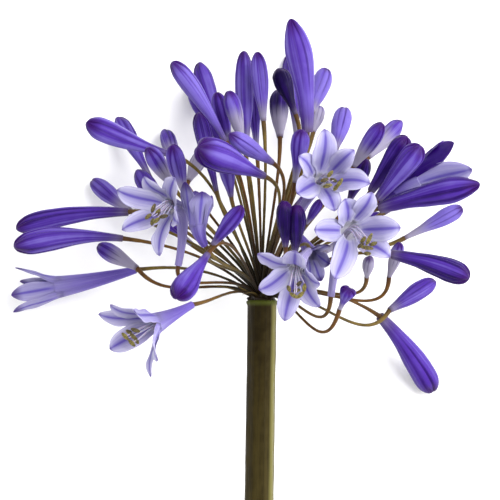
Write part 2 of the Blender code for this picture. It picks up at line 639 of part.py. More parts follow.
def make_scape(material):
    """The thick stem, from the collar under the umbel down to its slanting cut end on the surface."""
    drop = HUB_HEIGHT - SCAPE_END_RADIUS + CUT_SINK
    rings = []
    stations = (0, 0.4 * COLLAR_HEIGHT, COLLAR_HEIGHT, *SCAPE_STATIONS, SCAPE_LENGTH)
    for down in stations:
        share = down / SCAPE_LENGTH
        lean = Vector((SCAPE_DRIFT * share, -down, -drop * share - SCAPE_SAG * 4 * share * (1 - share)))
        radius = SCAPE_RADIUS + (SCAPE_END_RADIUS - SCAPE_RADIUS) * share**2
        if 0 < down < COLLAR_HEIGHT:
            radius += COLLAR_SWELL
        ring = []
        for j in range(SCAPE_SIDES):
            a = math.tau * (j + 0.5) / SCAPE_SIDES
            slant = CUT_SLANT * radius * math.sin(a) if down == SCAPE_LENGTH else 0
            ring.append(lean + Vector((radius * math.cos(a), slant, radius * math.sin(a))))
        rings.append(ring)
    return make_object("scape", *skin_rings(rings), material)


def set_origin_below_middle(objects):
    """Stands the origin on the surface, under the middle of the whole stem."""
    corners = [v.co for made in objects for v in made.data.vertices]
    low = [min(c[i] for c in corners) for i in range(3)]
    high = [max(c[i] for c in corners) for i in range(3)]
    move = Matrix.Translation((-(low[0] + high[0]) / 2, -(low[1] + high[1]) / 2, -low[2]))
    for made in objects:
        made.data.transform(move)


def main():
    clear_scene()
    materials = {name: make_material(name, colour) for name, colour in COLOURS.items()}
    made = [make_scape(materials["scape"]), make_pedicels(materials["pedicels"])]
    for number, (name, row) in enumerate(BUDS.items()):
        made.append(make_bud(name, row, BUD_RINGS[row[0]], number, materials["bud"]))
    for name, pair in TWIN_BUDS.items():
        first, second = (make_bud(f"{name}_{k}", row, BUD_RINGS[row[0]], k, materials["bud"])
                         for k, row in enumerate(pair))
        first.name = name
        made.append(join_by_union(first, [second]))
    for name, row in FLOWERS.items():
        kind = name.split("_")[0]
        made.append(make_flower(name, row, materials[kind]))
        if kind == "bloom":
            made.append(make_stamens(name.replace("bloom", "stamens"), row, ANTHERS[name],
                                     materials["stamens"]))
    set_origin_below_middle(made)


main()
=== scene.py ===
import math
import random

import bpy
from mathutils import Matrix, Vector, noise


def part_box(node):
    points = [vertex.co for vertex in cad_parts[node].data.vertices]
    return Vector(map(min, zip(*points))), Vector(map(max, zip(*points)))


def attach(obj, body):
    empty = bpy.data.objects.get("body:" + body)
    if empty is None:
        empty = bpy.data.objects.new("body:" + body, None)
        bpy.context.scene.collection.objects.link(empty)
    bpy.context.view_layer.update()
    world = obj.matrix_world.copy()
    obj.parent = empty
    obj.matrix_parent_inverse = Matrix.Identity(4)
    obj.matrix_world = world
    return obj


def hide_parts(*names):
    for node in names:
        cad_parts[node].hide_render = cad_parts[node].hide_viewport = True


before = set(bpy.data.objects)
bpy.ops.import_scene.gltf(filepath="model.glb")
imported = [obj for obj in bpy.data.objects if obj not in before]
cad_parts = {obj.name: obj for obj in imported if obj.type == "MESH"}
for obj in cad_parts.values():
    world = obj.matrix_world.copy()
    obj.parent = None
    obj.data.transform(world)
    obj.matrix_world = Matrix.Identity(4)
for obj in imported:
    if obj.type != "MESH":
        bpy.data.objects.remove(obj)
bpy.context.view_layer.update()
print("frame loaded:", len(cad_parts), "solids")

# Places below are millimetres from the hub, where the scape ends and the pedicels start
mm = 0.001
hubHeight = 46.0
collarReach = 6.21  # from the scape's middle to the widest point of its collar
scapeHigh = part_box("scape")[1]
hub = Vector((scapeHigh[0] - collarReach * mm, scapeHigh[1], hubHeight * mm))
scene = bpy.context.scene
lightLevel = 1.7  # how much brighter than plain white the studio makes a white thing


def rgb(red, green, blue):
    # 0 to 255 as seen on a screen in this light, to the linear colour that a shader takes
    def linear(v):
        v /= 255
        return (v / 12.92 if v < 0.04045 else ((v + 0.055) / 1.055) ** 2.4) / lightLevel
    return (linear(red), linear(green), linear(blue), 1.0)


def toWorld(p):
    # metres in the shared frame, and what would sink into the floor rests on it
    x, y, z = p
    return Vector((hub.x + x * mm, hub.y + y * mm, max(hub.z + z * mm, 0.0)))


# Camera, straight above, with the frame of the photo: 500 pixels across 200 mm at the hub's height
cameraValues = {
    "pixelsWide": 500,
    "mmPerPixel": 0.4,
    "hubPixel": (262, 300),
    "distance": 3.2,  # metres over the hub, far enough for a flat perspective
    "sensor": 36.0,
}


def makeCamera(values):
    half = values["pixelsWide"] / 2
    right = (half - values["hubPixel"][0]) * values["mmPerPixel"]
    up = (values["hubPixel"][1] - half) * values["mmPerPixel"]
    camera = bpy.data.cameras.new("camera")
    camera.sensor_width = values["sensor"]
    camera.lens = values["sensor"] * values["distance"] / (values["pixelsWide"] * values["mmPerPixel"] * mm)
    holder = bpy.data.objects.new("camera", camera)
    holder.location = hub + Vector((right * mm, up * mm, values["distance"]))
    scene.collection.objects.link(holder)
    scene.camera = holder


# Shape of every part, as in the solids
def valueAt(pairs, t):
    # a smooth curve through (t, value) pairs
    for k in range(len(pairs) - 1):
        (t0, v0), (t1, v1) = pairs[k], pairs[k + 1]
        if t <= t1:
            before, after = pairs[max(k - 1, 0)], pairs[min(k + 2, len(pairs) - 1)]
            m0 = (v1 - before[1]) / (t1 - before[0]) * (t1 - t0)
            m1 = (after[1] - v0) / (after[0] - t0) * (t1 - t0)
            u = (t - t0) / (t1 - t0)
            return (v0 * (2 * u**3 - 3 * u**2 + 1) + m0 * (u**3 - 2 * u**2 + u)
                    + v1 * (3 * u**2 - 2 * u**3) + m1 * (u**3 - u**2))
    return pairs[-1][1]


def bezier(a, b, c, d, t):
    s = 1 - t
    return a * s**3 + b * (3 * s * s * t) + c * (3 * s * t * t) + d * t**3


def smooth(t, low=0.0, high=1.0):
    t = min(max((t - low) / (high - low), 0.0), 1.0)
    return t * t * (3 - 2 * t)


def levelSide(direction):
    side = direction.cross(Vector((0, 0, 1)))
    if side.length < 0.2:
        side = direction.cross(Vector((0, 1, 0)))
    return side.normalized()


def framesAlong(points, firstSide):
    # (point, side, other side, direction) at each point of a path
    frames = []
    side = firstSide
    for k, point in enumerate(points):
        ahead = points[min(k + 1, len(points) - 1)] - points[max(k - 1, 0)]
        direction = ahead.normalized()
        side = (side - direction * side.dot(direction)).normalized()
        frames.append((point, side, direction.cross(side), direction))
    return frames


def makePiece(name, points, faces, material, marks, slot, replaced=(), sharp=40):
    # a finished piece: a mesh with its place in its points, which rides on the part's one body
    mesh = bpy.data.meshes.new(name)
    mesh.from_pydata([toWorld(p) for p in points], [], faces)
    mesh.validate()
    for key, values in marks.items():
        layer = mesh.attributes.new(key, "FLOAT", "POINT")
        layer.data.foreach_set("value", values)
    mesh.materials.append(material)
    mesh.shade_smooth()
    mesh.set_sharp_from_angle(angle=math.radians(sharp))
    piece = bpy.data.objects.new(name, mesh)
    scene.collection.objects.link(piece)
    finishPiece(piece, slot, replaced)
    return piece


def finishPiece(piece, slot, replaced):
    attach(piece, "root")
    if replaced:
        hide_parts(*replaced)


def note(marks, **values):
    # one more point's value for each mark that the materials read
    for key, value in values.items():
        marks.setdefault(key, []).append(value)


def skin(start, rings, around, flip=False):
    # the faces between rings of points that follow one another
    faces = []
    for k in range(rings - 1):
        for j in range(around):
            a, b = start + k * around + j, start + k * around + (j + 1) % around
            faces.append((a, a + around, b + around, b) if flip else (a, b, b + around, a + around))
    return faces


# Closed buds: kind, where the pedicel ends, where the tip is, width, bow, then how light the violet is
# and how far up the pale base reaches
buds = {
    "bud_01": ("long", (-53.6, 35.2, -6), (-98.8, 28.4, -12), 8.4, 2.0, 0.32, 0.0),
    "bud_02": ("bud", (-55.6, 24.6, 5), (-99.2, 21.2, 6), 9.8, 2.2, 0.45, 0.0),
    "bud_03": ("spindle", (-52.8, 35.6, -21), (-68.8, 48.0, -42.6), 7.2, 0, 0.6, 0.3),
    "bud_04": ("bud", (-37.2, 58.4, 8), (-70.0, 70.8, 17), 9.4, -1.0, 0.6, 0.0),
    "bud_05": ("bud", (-45.2, 49.6, -20), (-58.4, 73.6, -36), 7.4, 0, 0.54, 0.1),
    "bud_06": ("spindle", (-31.2, 43.6, 24), (-35.4, 61.4, 40), 7.6, 0, 0.66, 0.3),
    "bud_07": ("spindle", (-36.0, 46.0, 12), (-45.4, 60.4, 26), 7.2, 0, 0.7, 0.6),
    "bud_08": ("bud", (-14.6, 63.2, 22), (-35.8, 94.6, 31), 7.6, 1.0, 0.72, 0.0),
    "bud_09": ("spindle", (-17.6, 70.0, -12), (-25.4, 95.6, -23), 7.8, 0, 0.44, 0.0),
    "bud_10": ("spindle", (-13.2, 63.6, 7), (-18.2, 83.0, 10), 6.6, 0, 0.28, 0.1),
    "bud_11": ("spindle", (-8.0, 63.6, 18), (-13.4, 83.2, 25), 6.8, 0, 0.6, 0.6),
    "bud_12": ("spindle", (-6.4, 62.0, -4), (-7.2, 99.8, -2), 7.6, 0, 0.64, 0.15),
    "bud_13": ("bud", (-2.0, 59.6, -18), (-4.0, 88.0, -24), 6.4, 0, 0.52, 0.2),
    "bud_14": ("spindle", (0.6, 71.6, 6), (-2.0, 99.2, 7), 7.0, 0, 0.6, 0.2),
    "bud_15": ("loose", (0.8, 49.2, 43), (-25.2, 60.4, 62), 12.2, 0, 0.56, 0.0),
    "bud_16": ("spindle", (4.0, 54.6, 35), (-13.0, 65.6, 51), 7.4, 0, 0.98, 0.0),
    "bud_17": ("spindle", (-12.4, 41.6, 22), (-15.4, 60.0, 36), 6.8, 0, 0.54, 0.0),
    "bud_18": ("bud", (-18.2, 43.6, 9), (-25.4, 75.0, 11), 7.0, 0, 0.3, 0.0),
    "bud_19": ("bud", (-21.4, 18.4, 53), (-33.8, 1.2, 67), 10.0, 0, 0.5, 0.0),
    "bud_20": ("spindle", (-19.4, 22.2, 49), (-7.8, 37.2, 59), 6.6, 0, 0.4, 0.1),
    "bud_21": ("spindle", (-38.4, 35.2, 4), (-50.2, 52.0, -4), 7.4, 0, 0.36, 0.0),
    "bud_22": ("pointed", (18.0, 67.0, 20), (11.2, 111.8, 27), 10.8, 1.5, 0.6, 0.0),
    "bud_23": ("spindle", (19.8, 75.0, 3), (25.8, 92.8, -4), 7.8, 0, 1.11, 0.2),
    "bud_24": ("bud", (13.4, 74.0, 6), (6.4, 92.6, 1), 7.6, 0, -0.58, 0.0),
    "bud_25": ("spindle", (7.2, 65.2, -10), (6.8, 84.6, -20), 7.8, 0, -0.24, 0.5),
    "bud_26": ("spindle", (29.4, 60.4, -8), (33.4, 77.2, -25), 7.8, 0, 0.82, 0.1),
    "bud_27": ("spindle", (36.6, 53.6, 11), (47.8, 70.4, 22), 7.2, 0, 0.66, 0.5),
    "bud_28": ("spindle", (42.6, 57.2, -14), (56.2, 72.0, -26), 7.2, 0, 0.62, 0.6),
    "bud_29": ("bud", (13.0, 46.8, 36), (15.8, 67.6, 43), 7.4, 0, 0.68, 0.3),
    "bud_30": ("long", (43.4, 43.6, 18), (57.4, 65.0, 30), 8.6, 0, 0.02, 0.0),
    "bud_31": ("long", (46.0, 40.4, 31), (62.6, 61.2, 43), 9.2, 0, 0.44, 0.0),
    "bud_32": ("spindle", (35.2, 40.4, 1), (41.8, 56.4, 7), 7.2, 0, -0.18, 0.0),
    "bud_33": ("bud", (57.2, 24.8, -8), (80.6, 37.0, -14), 6.8, 0, 1, 0.35),
    "bud_34": ("long", (51.6, 18.2, 22), (82.2, 8.8, 31), 9.4, -1.0, 0.16, 0.0),
    "bud_35": ("spindle", (51.2, -4.2, -12), (69.8, 7.6, -24), 7.6, 0, 0.46, 0.1),
    "bud_36": ("long", (47.6, -6.8, -20), (69.4, -37.4, -43.9), 10.0, -1.4, 0.26, 0.0),
    "bud_37": ("bud", (-28.0, 22.0, -36), (-50.0, 40.0, -44.2), 7.8, 0, 0.36, 0.2),
    "bud_38": ("bud", (14.0, 38.0, -34), (34.0, 58.0, -44.4), 8.2, 0, 0.4, 0.0),
    "bud_39": ("bud", (25.0, 19.0, -35), (49.0, 34.0, -44.3), 7.8, 0, 0.3, 0.3),
    "bud_40": ("bud", (49.0, 35.0, -27), (77.0, 54.0, -44.9), 8.6, 0, 0.42, 0.0),
    "bud_41": ("bud", (14.0, 66.0, -26), (12.0, 100.0, -45.0), 8.2, 0, 0.36, 0.2),
    "bud_42": ("bud", (-13.6, 58.0, -28), (-28.6, 87.0, -44.9), 7.8, 0, 0.44, 0.0),
    "bud_43": ("pointed", (46.6, 36.6, 29), (86.0, 46.0, 43), 10.6, -0.6, 0.26, 0.0),
}
twinBuds = {
    "bud_pair": (
        ("spindle", (9.2, 21.6, 51), (8.6, 39.2, 60), 7.0, 0, -0.45, 0.0),
        ("spindle", (13.0, 19.6, 48), (13.6, 37.6, 59), 7.6, 0, -0.35, 0.0),
    ),
}
youngBuds = {
    "young_1": ("spindle", (-34.4, 54.0, -24), (-39.4, 68.4, -42.8), 6.6, 0.4, 0.5),
    "young_2": ("spindle", (-29.6, 47.6, -14), (-24.0, 59.4, -24), 6.2, 0.7, 1.3),
    "young_3": ("spindle", (-50.0, 12.8, -5), (-66.0, 21.8, -13), 7.0, 0.5, 0.6),
    "young_4": ("spindle", (20.6, 67.2, -18), (23.4, 78.0, -26), 5.4, 0.75, 0.9),
    "young_5": ("cup", (30.6, -3.4, 40), (34.2, 4.6, 46), 6.6, 0.42, 0.3),
    "young_6": ("spindle", (41.6, 9.2, 18), (42.6, 17.2, 28), 4.8, 0.8, 1.3),
    "young_7": ("spindle", (50.8, 9.2, 2), (55.0, 23.0, 10), 5.4, 0.5, 0.8),
    "young_8": ("spindle", (17.6, 30.4, 15), (23.4, 40.0, 21), 4.0, 0.3, 0.2),
}
pedicelBends = {
    "bud_01": (0, 3, 0),
    "bud_35": (0, -11, 0),
    "bud_36": (0, -3, -2),
    "young_3": (0, -9, 0),
    "young_5": (-2, -14, 0),
    "young_6": (1, -7, 0),
    "young_7": (3, -9, 0),
    "opening_1": (0, -2, 0),
    "bloom_2": (0, -4, 0),
    "bloom_4": (0, -8, 0),
    "bloom_5": (-5, 3, 0),
}
# Flowers: base, throat, throat radius, tepal width, flare at the tips, the six tips, then how light it is
flowers = {
    "opening_1": ((-50.8, 12.0, -22), (-82.4, 5.0, -31), 4.6, 7.2, 24.0, (
        (-99.6, 13.0, -31), (-101.2, 1.8, -28), (-100.4, -5.2, -32),
        (-98.6, -4.4, -40), (-97.6, 1.0, -44), (-98.0, 7.4, -41)), 0.66),
    "opening_2": ((-22.6, 21.8, 46), (-25.4, 30.6, 49.4), 3.8, 9.4, 12.0, (
        (-30.4, 46.8, 58), (-23.6, 43.0, 60), (-19.8, 41.4, 54),
        (-21.4, 42.0, 47), (-26.4, 43.4, 45), (-31.4, 44.6, 50)), 0.5),
    "opening_3": ((46.6, 39.6, 16), (62.0, 49.4, 21), 5.2, 11.4, 16.0, (
        (72.0, 63.8, 23), (76.0, 62.6, 31), (83.2, 52.0, 33),
        (84.0, 47.6, 25), (79.4, 50.6, 15), (73.0, 59.6, 16)), 0.16),
    "opening_4": ((14.8, 25.6, 24), (19.6, 18.4, 31), 3.2, 6.4, 34.0, (
        (26.4, 22.0, 39), (27.0, 14.6, 34), (23.4, 7.6, 31),
        (18.8, 8.8, 35), (17.4, 13.6, 40), (20.6, 21.0, 43)), 0.56),
    "bloom_1": ((-33.2, 13.8, 35), (-36.4, 37.0, 45), 3.9, 8.8, 78.0, (
        (-57.2, 43.8, 46), (-46.4, 49.0, 52), (-34.2, 48.4, 58),
        (-32.8, 30.8, 62), (-40.2, 17.6, 56), (-55.2, 27.8, 46)), 0.9),
    "bloom_2": ((-27.6, -1.6, 33), (-42.4, -9.0, 42), 4.4, 8.8, 70.0, (
        (-59.9, -1.4, 46), (-64.6, -5.2, 38), (-60.2, -19.2, 37),
        (-43.6, -30.0, 53), (-40.8, -23.2, 61), (-50.0, -3.8, 58)), 0.8),
    "bloom_3": ((14.0, 33.6, 35), (23.4, 47.8, 48), 3.8, 9.6, 86.0, (
        (24.4, 67.6, 57), (36.2, 59.4, 59), (42.4, 46.0, 59),
        (28.4, 35.2, 58), (13.6, 42.0, 58), (14.2, 56.8, 58)), 0.92),
    "bloom_4": ((27.2, 1.6, 37), (35.0, 27.6, 50), 4.7, 10.0, 86.0, (
        (54.4, 28.8, 58), (43.0, 42.8, 59), (32.4, 40.2, 58),
        (20.4, 28.0, 58), (28.4, 8.6, 58), (50.2, 17.2, 59)), 1.0),
    "bloom_5": ((18.4, 19.6, 50), (13.2, 12.4, 62), 3.9, 9.4, 78.0, (
        (-1.8, 18.8, 70), (-1.4, 4.6, 63), (8.8, -7.8, 59),
        (22.6, -2.2, 64), (22.6, 7.0, 72), (13.0, 19.8, 78)), 0.94),
}
# Tepals that are lighter than the rest of their flower, by their place in its row of tips
paleTepals = {"opening_2": {1: 0.06, 4: 0.06}, "opening_3": {2: 0.7, 3: 0.3}}
# Tepals that are narrower than the rest
narrowTepals = {"opening_1": {0: 0.42, 5: 0.7}}
# Anthers: centre, the way each lies in degrees from the right, length, and how dark it is
anthers = {
    "bloom_1": (
        ((-42.8, 36.4, 56.6), 68, 3.8, 1.0), ((-44.8, 33.2, 56.0), 40, 3.2, 0.5),
        ((-41.6, 31.6, 56.4), 35, 3.4, 0.0), ((-38.8, 33.2, 55.6), 12, 3.6, 0.9),
        ((-41.0, 34.8, 54.0), 60, 3.2, 0.4), ((-43.2, 31.0, 54.0), 80, 3.0, 0.3)),
    "bloom_2": (
        ((-50.0, -11.6, 48.0), -18, 3.8, 0.7), ((-51.0, -14.0, 47.0), -42, 4.6, 0.4),
        ((-51.4, -16.6, 48.0), -46, 3.8, 0.0), ((-54.0, -14.0, 48.0), -46, 3.8, 0.05),
        ((-52.4, -12.4, 45.4), -30, 3.2, 0.5), ((-49.6, -15.6, 45.4), -60, 3.2, 0.5)),
    "bloom_3": (
        ((26.6, 49.8, 61.5), 50, 3.4, 0.3), ((24.4, 47.4, 61.0), 20, 3.0, 0.85),
        ((25.6, 45.2, 62.0), 14, 3.8, 0.0), ((28.0, 47.4, 60.6), -22, 3.0, 0.85),
        ((30.4, 46.4, 62.2), 58, 4.0, 0.05), ((29.0, 44.6, 60.6), 52, 3.4, 0.3)),
    "bloom_4": (
        ((41.9, 24.2, 63.4), 64, 5.2, 0.0), ((41.0, 20.9, 62.4), -8, 5.2, 0.6),
        ((38.6, 21.8, 61.6), 36, 3.0, 0.95), ((39.6, 24.0, 60.4), 50, 3.2, 0.4),
        ((43.6, 22.4, 60.4), 20, 3.2, 0.4), ((41.2, 18.6, 60.2), 0, 3.0, 0.5)),
    "bloom_5": (
        ((10.4, 4.9, 67.4), -66, 2.8, 0.5), ((12.3, 2.2, 67.8), -32, 3.8, 0.1),
        ((15.0, 2.4, 67.8), 42, 3.8, 0.0), ((16.5, 5.2, 67.4), 82, 3.4, 0.05),
        ((14.4, 6.8, 66.4), 45, 2.8, 1.0), ((13.4, 4.2, 65.4), 10, 3.0, 0.4)),
}


# Materials
class Nodes:
    # a node tree, with short ways to add to it
    def __init__(self, tree):
        self.tree = tree

    def put(self, value, socket):
        if isinstance(value, bpy.types.NodeSocket):
            self.tree.links.new(value, socket)
        else:
            socket.default_value = value

    def make(self, kind, inputs=None, **settings):
        node = self.tree.nodes.new(kind)
        for key, value in settings.items():
            setattr(node, key, value)
        for key, value in (inputs or {}).items():
            self.put(value, node.inputs[key])
        return node

    def math(self, operation, *values):
        node = self.make("ShaderNodeMath", operation=operation)
        for value, socket in zip(values, node.inputs):
            self.put(value, socket)
        return node.outputs[0]

    def times(self, first, second):
        return self.math("MULTIPLY", first, second)

    def plus(self, first, second):
        return self.math("ADD", first, second)

    def ramp(self, value, fromLow, fromHigh, toLow=0.0, toHigh=1.0):
        return self.make("ShaderNodeMapRange", {
            "Value": value, "From Min": fromLow, "From Max": fromHigh, "To Min": toLow, "To Max": toHigh,
        }, interpolation_type="SMOOTHSTEP").outputs["Result"]

    def mix(self, factor, first, second):
        return self.make("ShaderNodeMix", {"Factor": factor, "A": first, "B": second},
                         data_type="RGBA").outputs["Result"]

    def layers(self, body, colours, *covers):
        # colours laid over one another, each as far as its own mask says
        for mask, name in covers:
            body = self.mix(mask, body, colours[name])
        return body

    def read(self, name):
        return self.make("ShaderNodeAttribute", attribute_name=name).outputs["Fac"]

    def keep(self, geometry, name, value, domain="POINT"):
        # the geometry with a value of its own that materials can read
        return self.make("GeometryNodeStoreNamedAttribute", {
            "Geometry": geometry, "Name": name, "Value": value}, data_type="FLOAT", domain=domain).outputs[0]

    def chance(self, inputs, low=0.0, high=1.0):
        node = self.make("FunctionNodeRandomValue", inputs, data_type="FLOAT")
        limits = [socket for socket in node.inputs if socket.type == "VALUE"]
        limits[0].default_value, limits[1].default_value = low, high
        return next(socket for socket in node.outputs if socket.type == "VALUE")

    def group(self, tree, **values):
        inputs = {label.replace("_", " "): value for label, value in values.items()}
        return self.make("ShaderNodeGroup", inputs, node_tree=tree).outputs

    def surface(self, colour, relief=None, strength=0.4, distance=0.0002, mottle=None, roughness=None):
        # what varies over a material: its colour, fine relief and roughness
        shader = self.tree.nodes["Principled BSDF"]
        self.put(colour, shader.inputs["Base Color"])
        if mottle:
            self.put(self.ramp(mottle, 0.3, 0.7, *roughness), shader.inputs["Roughness"])
        if relief:
            bump = self.make("ShaderNodeBump", {"Strength": strength, "Distance": distance, "Height": relief})
            self.put(bump.outputs["Normal"], shader.inputs["Normal"])


def newMaterial(name, roughness, **constants):
    # the material and its nodes, with the values that are the same all over
    material = bpy.data.materials.new(name)
    material.use_nodes = True
    shader = material.node_tree.nodes["Principled BSDF"]
    shader.inputs["Roughness"].default_value = roughness
    for socket, value in constants.items():
        shader.inputs[socket.replace("_", " ")].default_value = value
    return material, Nodes(material.node_tree)


def makeVeinGroup():
    # veins and streaks that run the length of a petal or stalk, read from its own across and along
    tree = bpy.data.node_groups.new("lengthwiseVeins", "ShaderNodeTree")
    for label, default in (("Veins Across", 9.0), ("Length Detail", 1.5), ("Streak Detail", 4.0),
                           ("Grain Scale", 2200.0), ("Mottle Scale", 260.0)):
        socket = tree.interface.new_socket(label, in_out="INPUT", socket_type="NodeSocketFloat")
        socket.default_value = default
    for label in ("Veins", "Streaks", "Mottle", "Height"):
        tree.interface.new_socket(label, in_out="OUTPUT", socket_type="NodeSocketFloat")
    nodes = Nodes(tree)
    given = nodes.make("NodeGroupInput").outputs
    across = nodes.times(nodes.read("across"), given["Veins Across"])
    along = nodes.times(nodes.read("along"), given["Length Detail"])
    place = nodes.make("ShaderNodeCombineXYZ", {"X": across, "Y": along, "Z": nodes.read("seed")}).outputs[0]
    streaks = nodes.make("ShaderNodeTexNoise", {
        "Scale": 1.0, "Detail": given["Streak Detail"], "Roughness": 0.65, "Vector": place}).outputs["Fac"]
    phase = nodes.plus(across, nodes.times(streaks, 1.6))
    wave = nodes.math("ABSOLUTE", nodes.math("SINE", nodes.times(phase, math.pi)))
    veins = nodes.ramp(wave, 0.35, 0.0)
    here = nodes.make("ShaderNodeTexCoord").outputs["Object"]
    grain, mottle = (nodes.make("ShaderNodeTexNoise", {
        "Vector": here, "Detail": detail, "Scale": given[scale]}).outputs["Fac"]
        for detail, scale in ((2.0, "Grain Scale"), (3.0, "Mottle Scale")))
    relief = nodes.plus(nodes.times(streaks, 0.9), nodes.times(grain, 0.35))
    relief = nodes.plus(nodes.times(veins, -0.5), relief)
    nodes.make("NodeGroupOutput", {"Veins": veins, "Streaks": streaks, "Mottle": mottle, "Height": relief})
    return tree


budColours = {
    "dark": rgb(22, 0, 66),
    "base": rgb(70, 44, 112),
    "deep": rgb(46, 4, 112),
    "middle": rgb(83, 47, 166),
    "light": rgb(128, 109, 207),
    # the fine veins' colour, also laid as painted shade in the grooves where the tepals meet
    "seam": rgb(44, 2, 100),
    "tip": rgb(58, 8, 98),
    "pale": rgb(172, 165, 188),
    "seat": rgb(76, 52, 76),
}


def makeBudMaterial(veins, colours):
    material, nodes = newMaterial(
        "violetBudPetals", 0.4, Specular_IOR_Level=0.09, Subsurface_Weight=0.15, Subsurface_Scale=0.0015,
        Subsurface_Radius=(0.5, 0.4, 1.0))
    pattern = nodes.group(veins, Veins_Across=1.3, Length_Detail=0.7, Streak_Detail=1.0, Mottle_Scale=120.0)
    along, tone, pale, ridge = (nodes.read(name) for name in ("along", "tone", "pale", "ridge"))
    bands = nodes.ramp(pattern["Streaks"], 0.3, 0.7, -0.24, 0.24)
    fine = nodes.group(veins, Veins_Across=7.0, Length_Detail=2.0)
    # painted highlight: the ridge mask lightens the violet along the tepals' midribs and darkens it towards
    # the seams as painted shade
    lightness = nodes.plus(nodes.plus(tone, bands), nodes.ramp(ridge, 0.05, 0.95, -0.15, 0.17))
    lightness = nodes.plus(lightness, nodes.ramp(along, 0.66, 0.95, 0.1, -0.08))
    lightness = nodes.plus(lightness, nodes.ramp(pattern["Mottle"], 0.3, 0.7, -0.07, 0.07))
    glint = nodes.times(nodes.ramp(fine["Streaks"], 0.35, 0.75, 0.0, 0.16),
                        nodes.ramp(lightness, -0.4, 0.3, 0.15, 1.0))
    reach = nodes.plus(nodes.math("SUBTRACT", pale, along), nodes.times(pattern["Streaks"], 0.3))
    tipEdge = nodes.math("SUBTRACT", along, nodes.times(ridge, 0.05))
    body = nodes.layers(
        colours["deep"], colours,
        (nodes.ramp(lightness, 0.1, -0.5), "dark"),
        (nodes.ramp(lightness, 0.0, 0.45), "middle"),
        (nodes.ramp(lightness, 0.42, 1.0), "light"),
        (nodes.times(fine["Veins"], 0.07), "seam"),
        (glint, "light"),
        (nodes.ramp(along, 0.34, 0.04, 0.0, 0.7), "base"),
        (nodes.ramp(reach, -0.02, 0.36, 0.0, 0.92), "pale"),
        # painted shade: the seam colour laid in the grooves where the tepals meet
        (nodes.ramp(nodes.read("crease"), 0.15, 1.0, 0.0, 0.5), "seam"),
        (nodes.ramp(tipEdge, 0.8, 0.97, 0.0, 0.85), "tip"),
        (nodes.ramp(along, 0.07, 0.0, 0.0, 0.6), "seat"))
    nodes.surface(body, fine["Height"], mottle=pattern["Mottle"], roughness=(0.34, 0.5))
    return material


bloomColours = {
    "face": rgb(186, 181, 225),
    "edge": rgb(208, 206, 235),
    "stripe": rgb(100, 82, 186),
    "throat": (0.93, 0.92, 0.98, 1.0),  # in the shade, so lighter than it looks
    "outside": rgb(128, 106, 208),
    "tube": rgb(168, 160, 196),
    "violet": rgb(46, 8, 116),
    "rim": rgb(170, 162, 218),
    "tip": rgb(76, 48, 146),
    "youngTip": rgb(52, 10, 112),
}


def makeBloomMaterial(veins, colours):
    material, nodes = newMaterial(
        "lavenderTepals", 0.44, Specular_IOR_Level=0.1, Subsurface_Weight=0.45, Subsurface_Scale=0.0012,
        Subsurface_Radius=(1.0, 0.95, 1.0))
    pattern = nodes.group(veins, Veins_Across=5.0, Length_Detail=1.4)
    along, across, tone, inner = (nodes.read(name) for name in ("along", "across", "tone", "inner"))
    side = nodes.math("ABSOLUTE", across)
    streaks = pattern["Streaks"]
    face = nodes.layers(
        colours["face"], colours,
        (nodes.ramp(side, 0.3, 0.95), "edge"),
        (nodes.times(nodes.ramp(along, 0.5, 0.4), nodes.ramp(tone, 0.6, 0.8)), "throat"))
    outside = nodes.layers(
        colours["face"], colours,
        (nodes.ramp(along, 0.75, 0.1), "outside"),
        (nodes.times(nodes.ramp(tone, 0.82, 0.94, 0.0, 0.8), nodes.ramp(along, 0.5, 0.3)), "tube"))
    spread = nodes.math("MAXIMUM", nodes.ramp(side, 0.1, 0.8, 0.4, 1.0), nodes.ramp(tone, 0.28, 0.2))
    rim = nodes.times(nodes.ramp(side, 0.88, 1.0), nodes.ramp(along, 0.5, 0.7, 0.0, 0.5))
    opened = nodes.ramp(tone, 0.2, 0.9, 0.04, 1.0)
    midline = nodes.times(nodes.ramp(along, 0.4, 0.56), nodes.ramp(along, 1.0, 0.9, 0.5, 1.0))
    midline = nodes.times(midline, nodes.ramp(tone, 0.25, 0.6))
    wobble = nodes.times(nodes.math("SUBTRACT", streaks, 0.5), 0.14)
    body = nodes.layers(
        nodes.mix(inner, outside, face), colours,
        (nodes.times(nodes.ramp(tone, 0.85, 0.16), spread), "violet"),
        (nodes.times(rim, nodes.ramp(tone, 0.1, 0.7, 0.4, 1.0)), "rim"),
        (nodes.times(pattern["Veins"], 0.12), "stripe"),
        (nodes.times(opened, nodes.ramp(streaks, 0.4, 0.75, 0.0, 0.4)), "outside"),
        (nodes.times(opened, nodes.ramp(streaks, 0.5, 0.28, 0.0, 0.5)), "edge"),
        (nodes.times(nodes.ramp(nodes.plus(side, wobble), 0.24, 0.04, 0.0, 0.85), midline), "stripe"),
        (nodes.times(nodes.ramp(side, 0.55, 0.12, 0.0, 0.3), midline), "stripe"),
        (nodes.ramp(along, 0.95, 1.0, 0.0, 0.75), "tip"),
        (nodes.times(nodes.ramp(tone, 0.8, 0.66), nodes.ramp(along, 0.84, 0.97, 0.0, 0.8)), "youngTip"))
    nodes.surface(body, pattern["Height"], mottle=pattern["Mottle"], roughness=(0.4, 0.54))
    return material


stalkColours = {
    # near-black, for the dark mottles and for the painted shade on the stalks near the hub
    "hub": rgb(22, 14, 5),
    "brown": rgb(118, 76, 28),
    "olive": rgb(126, 104, 46),
    "end": rgb(84, 50, 28),
}


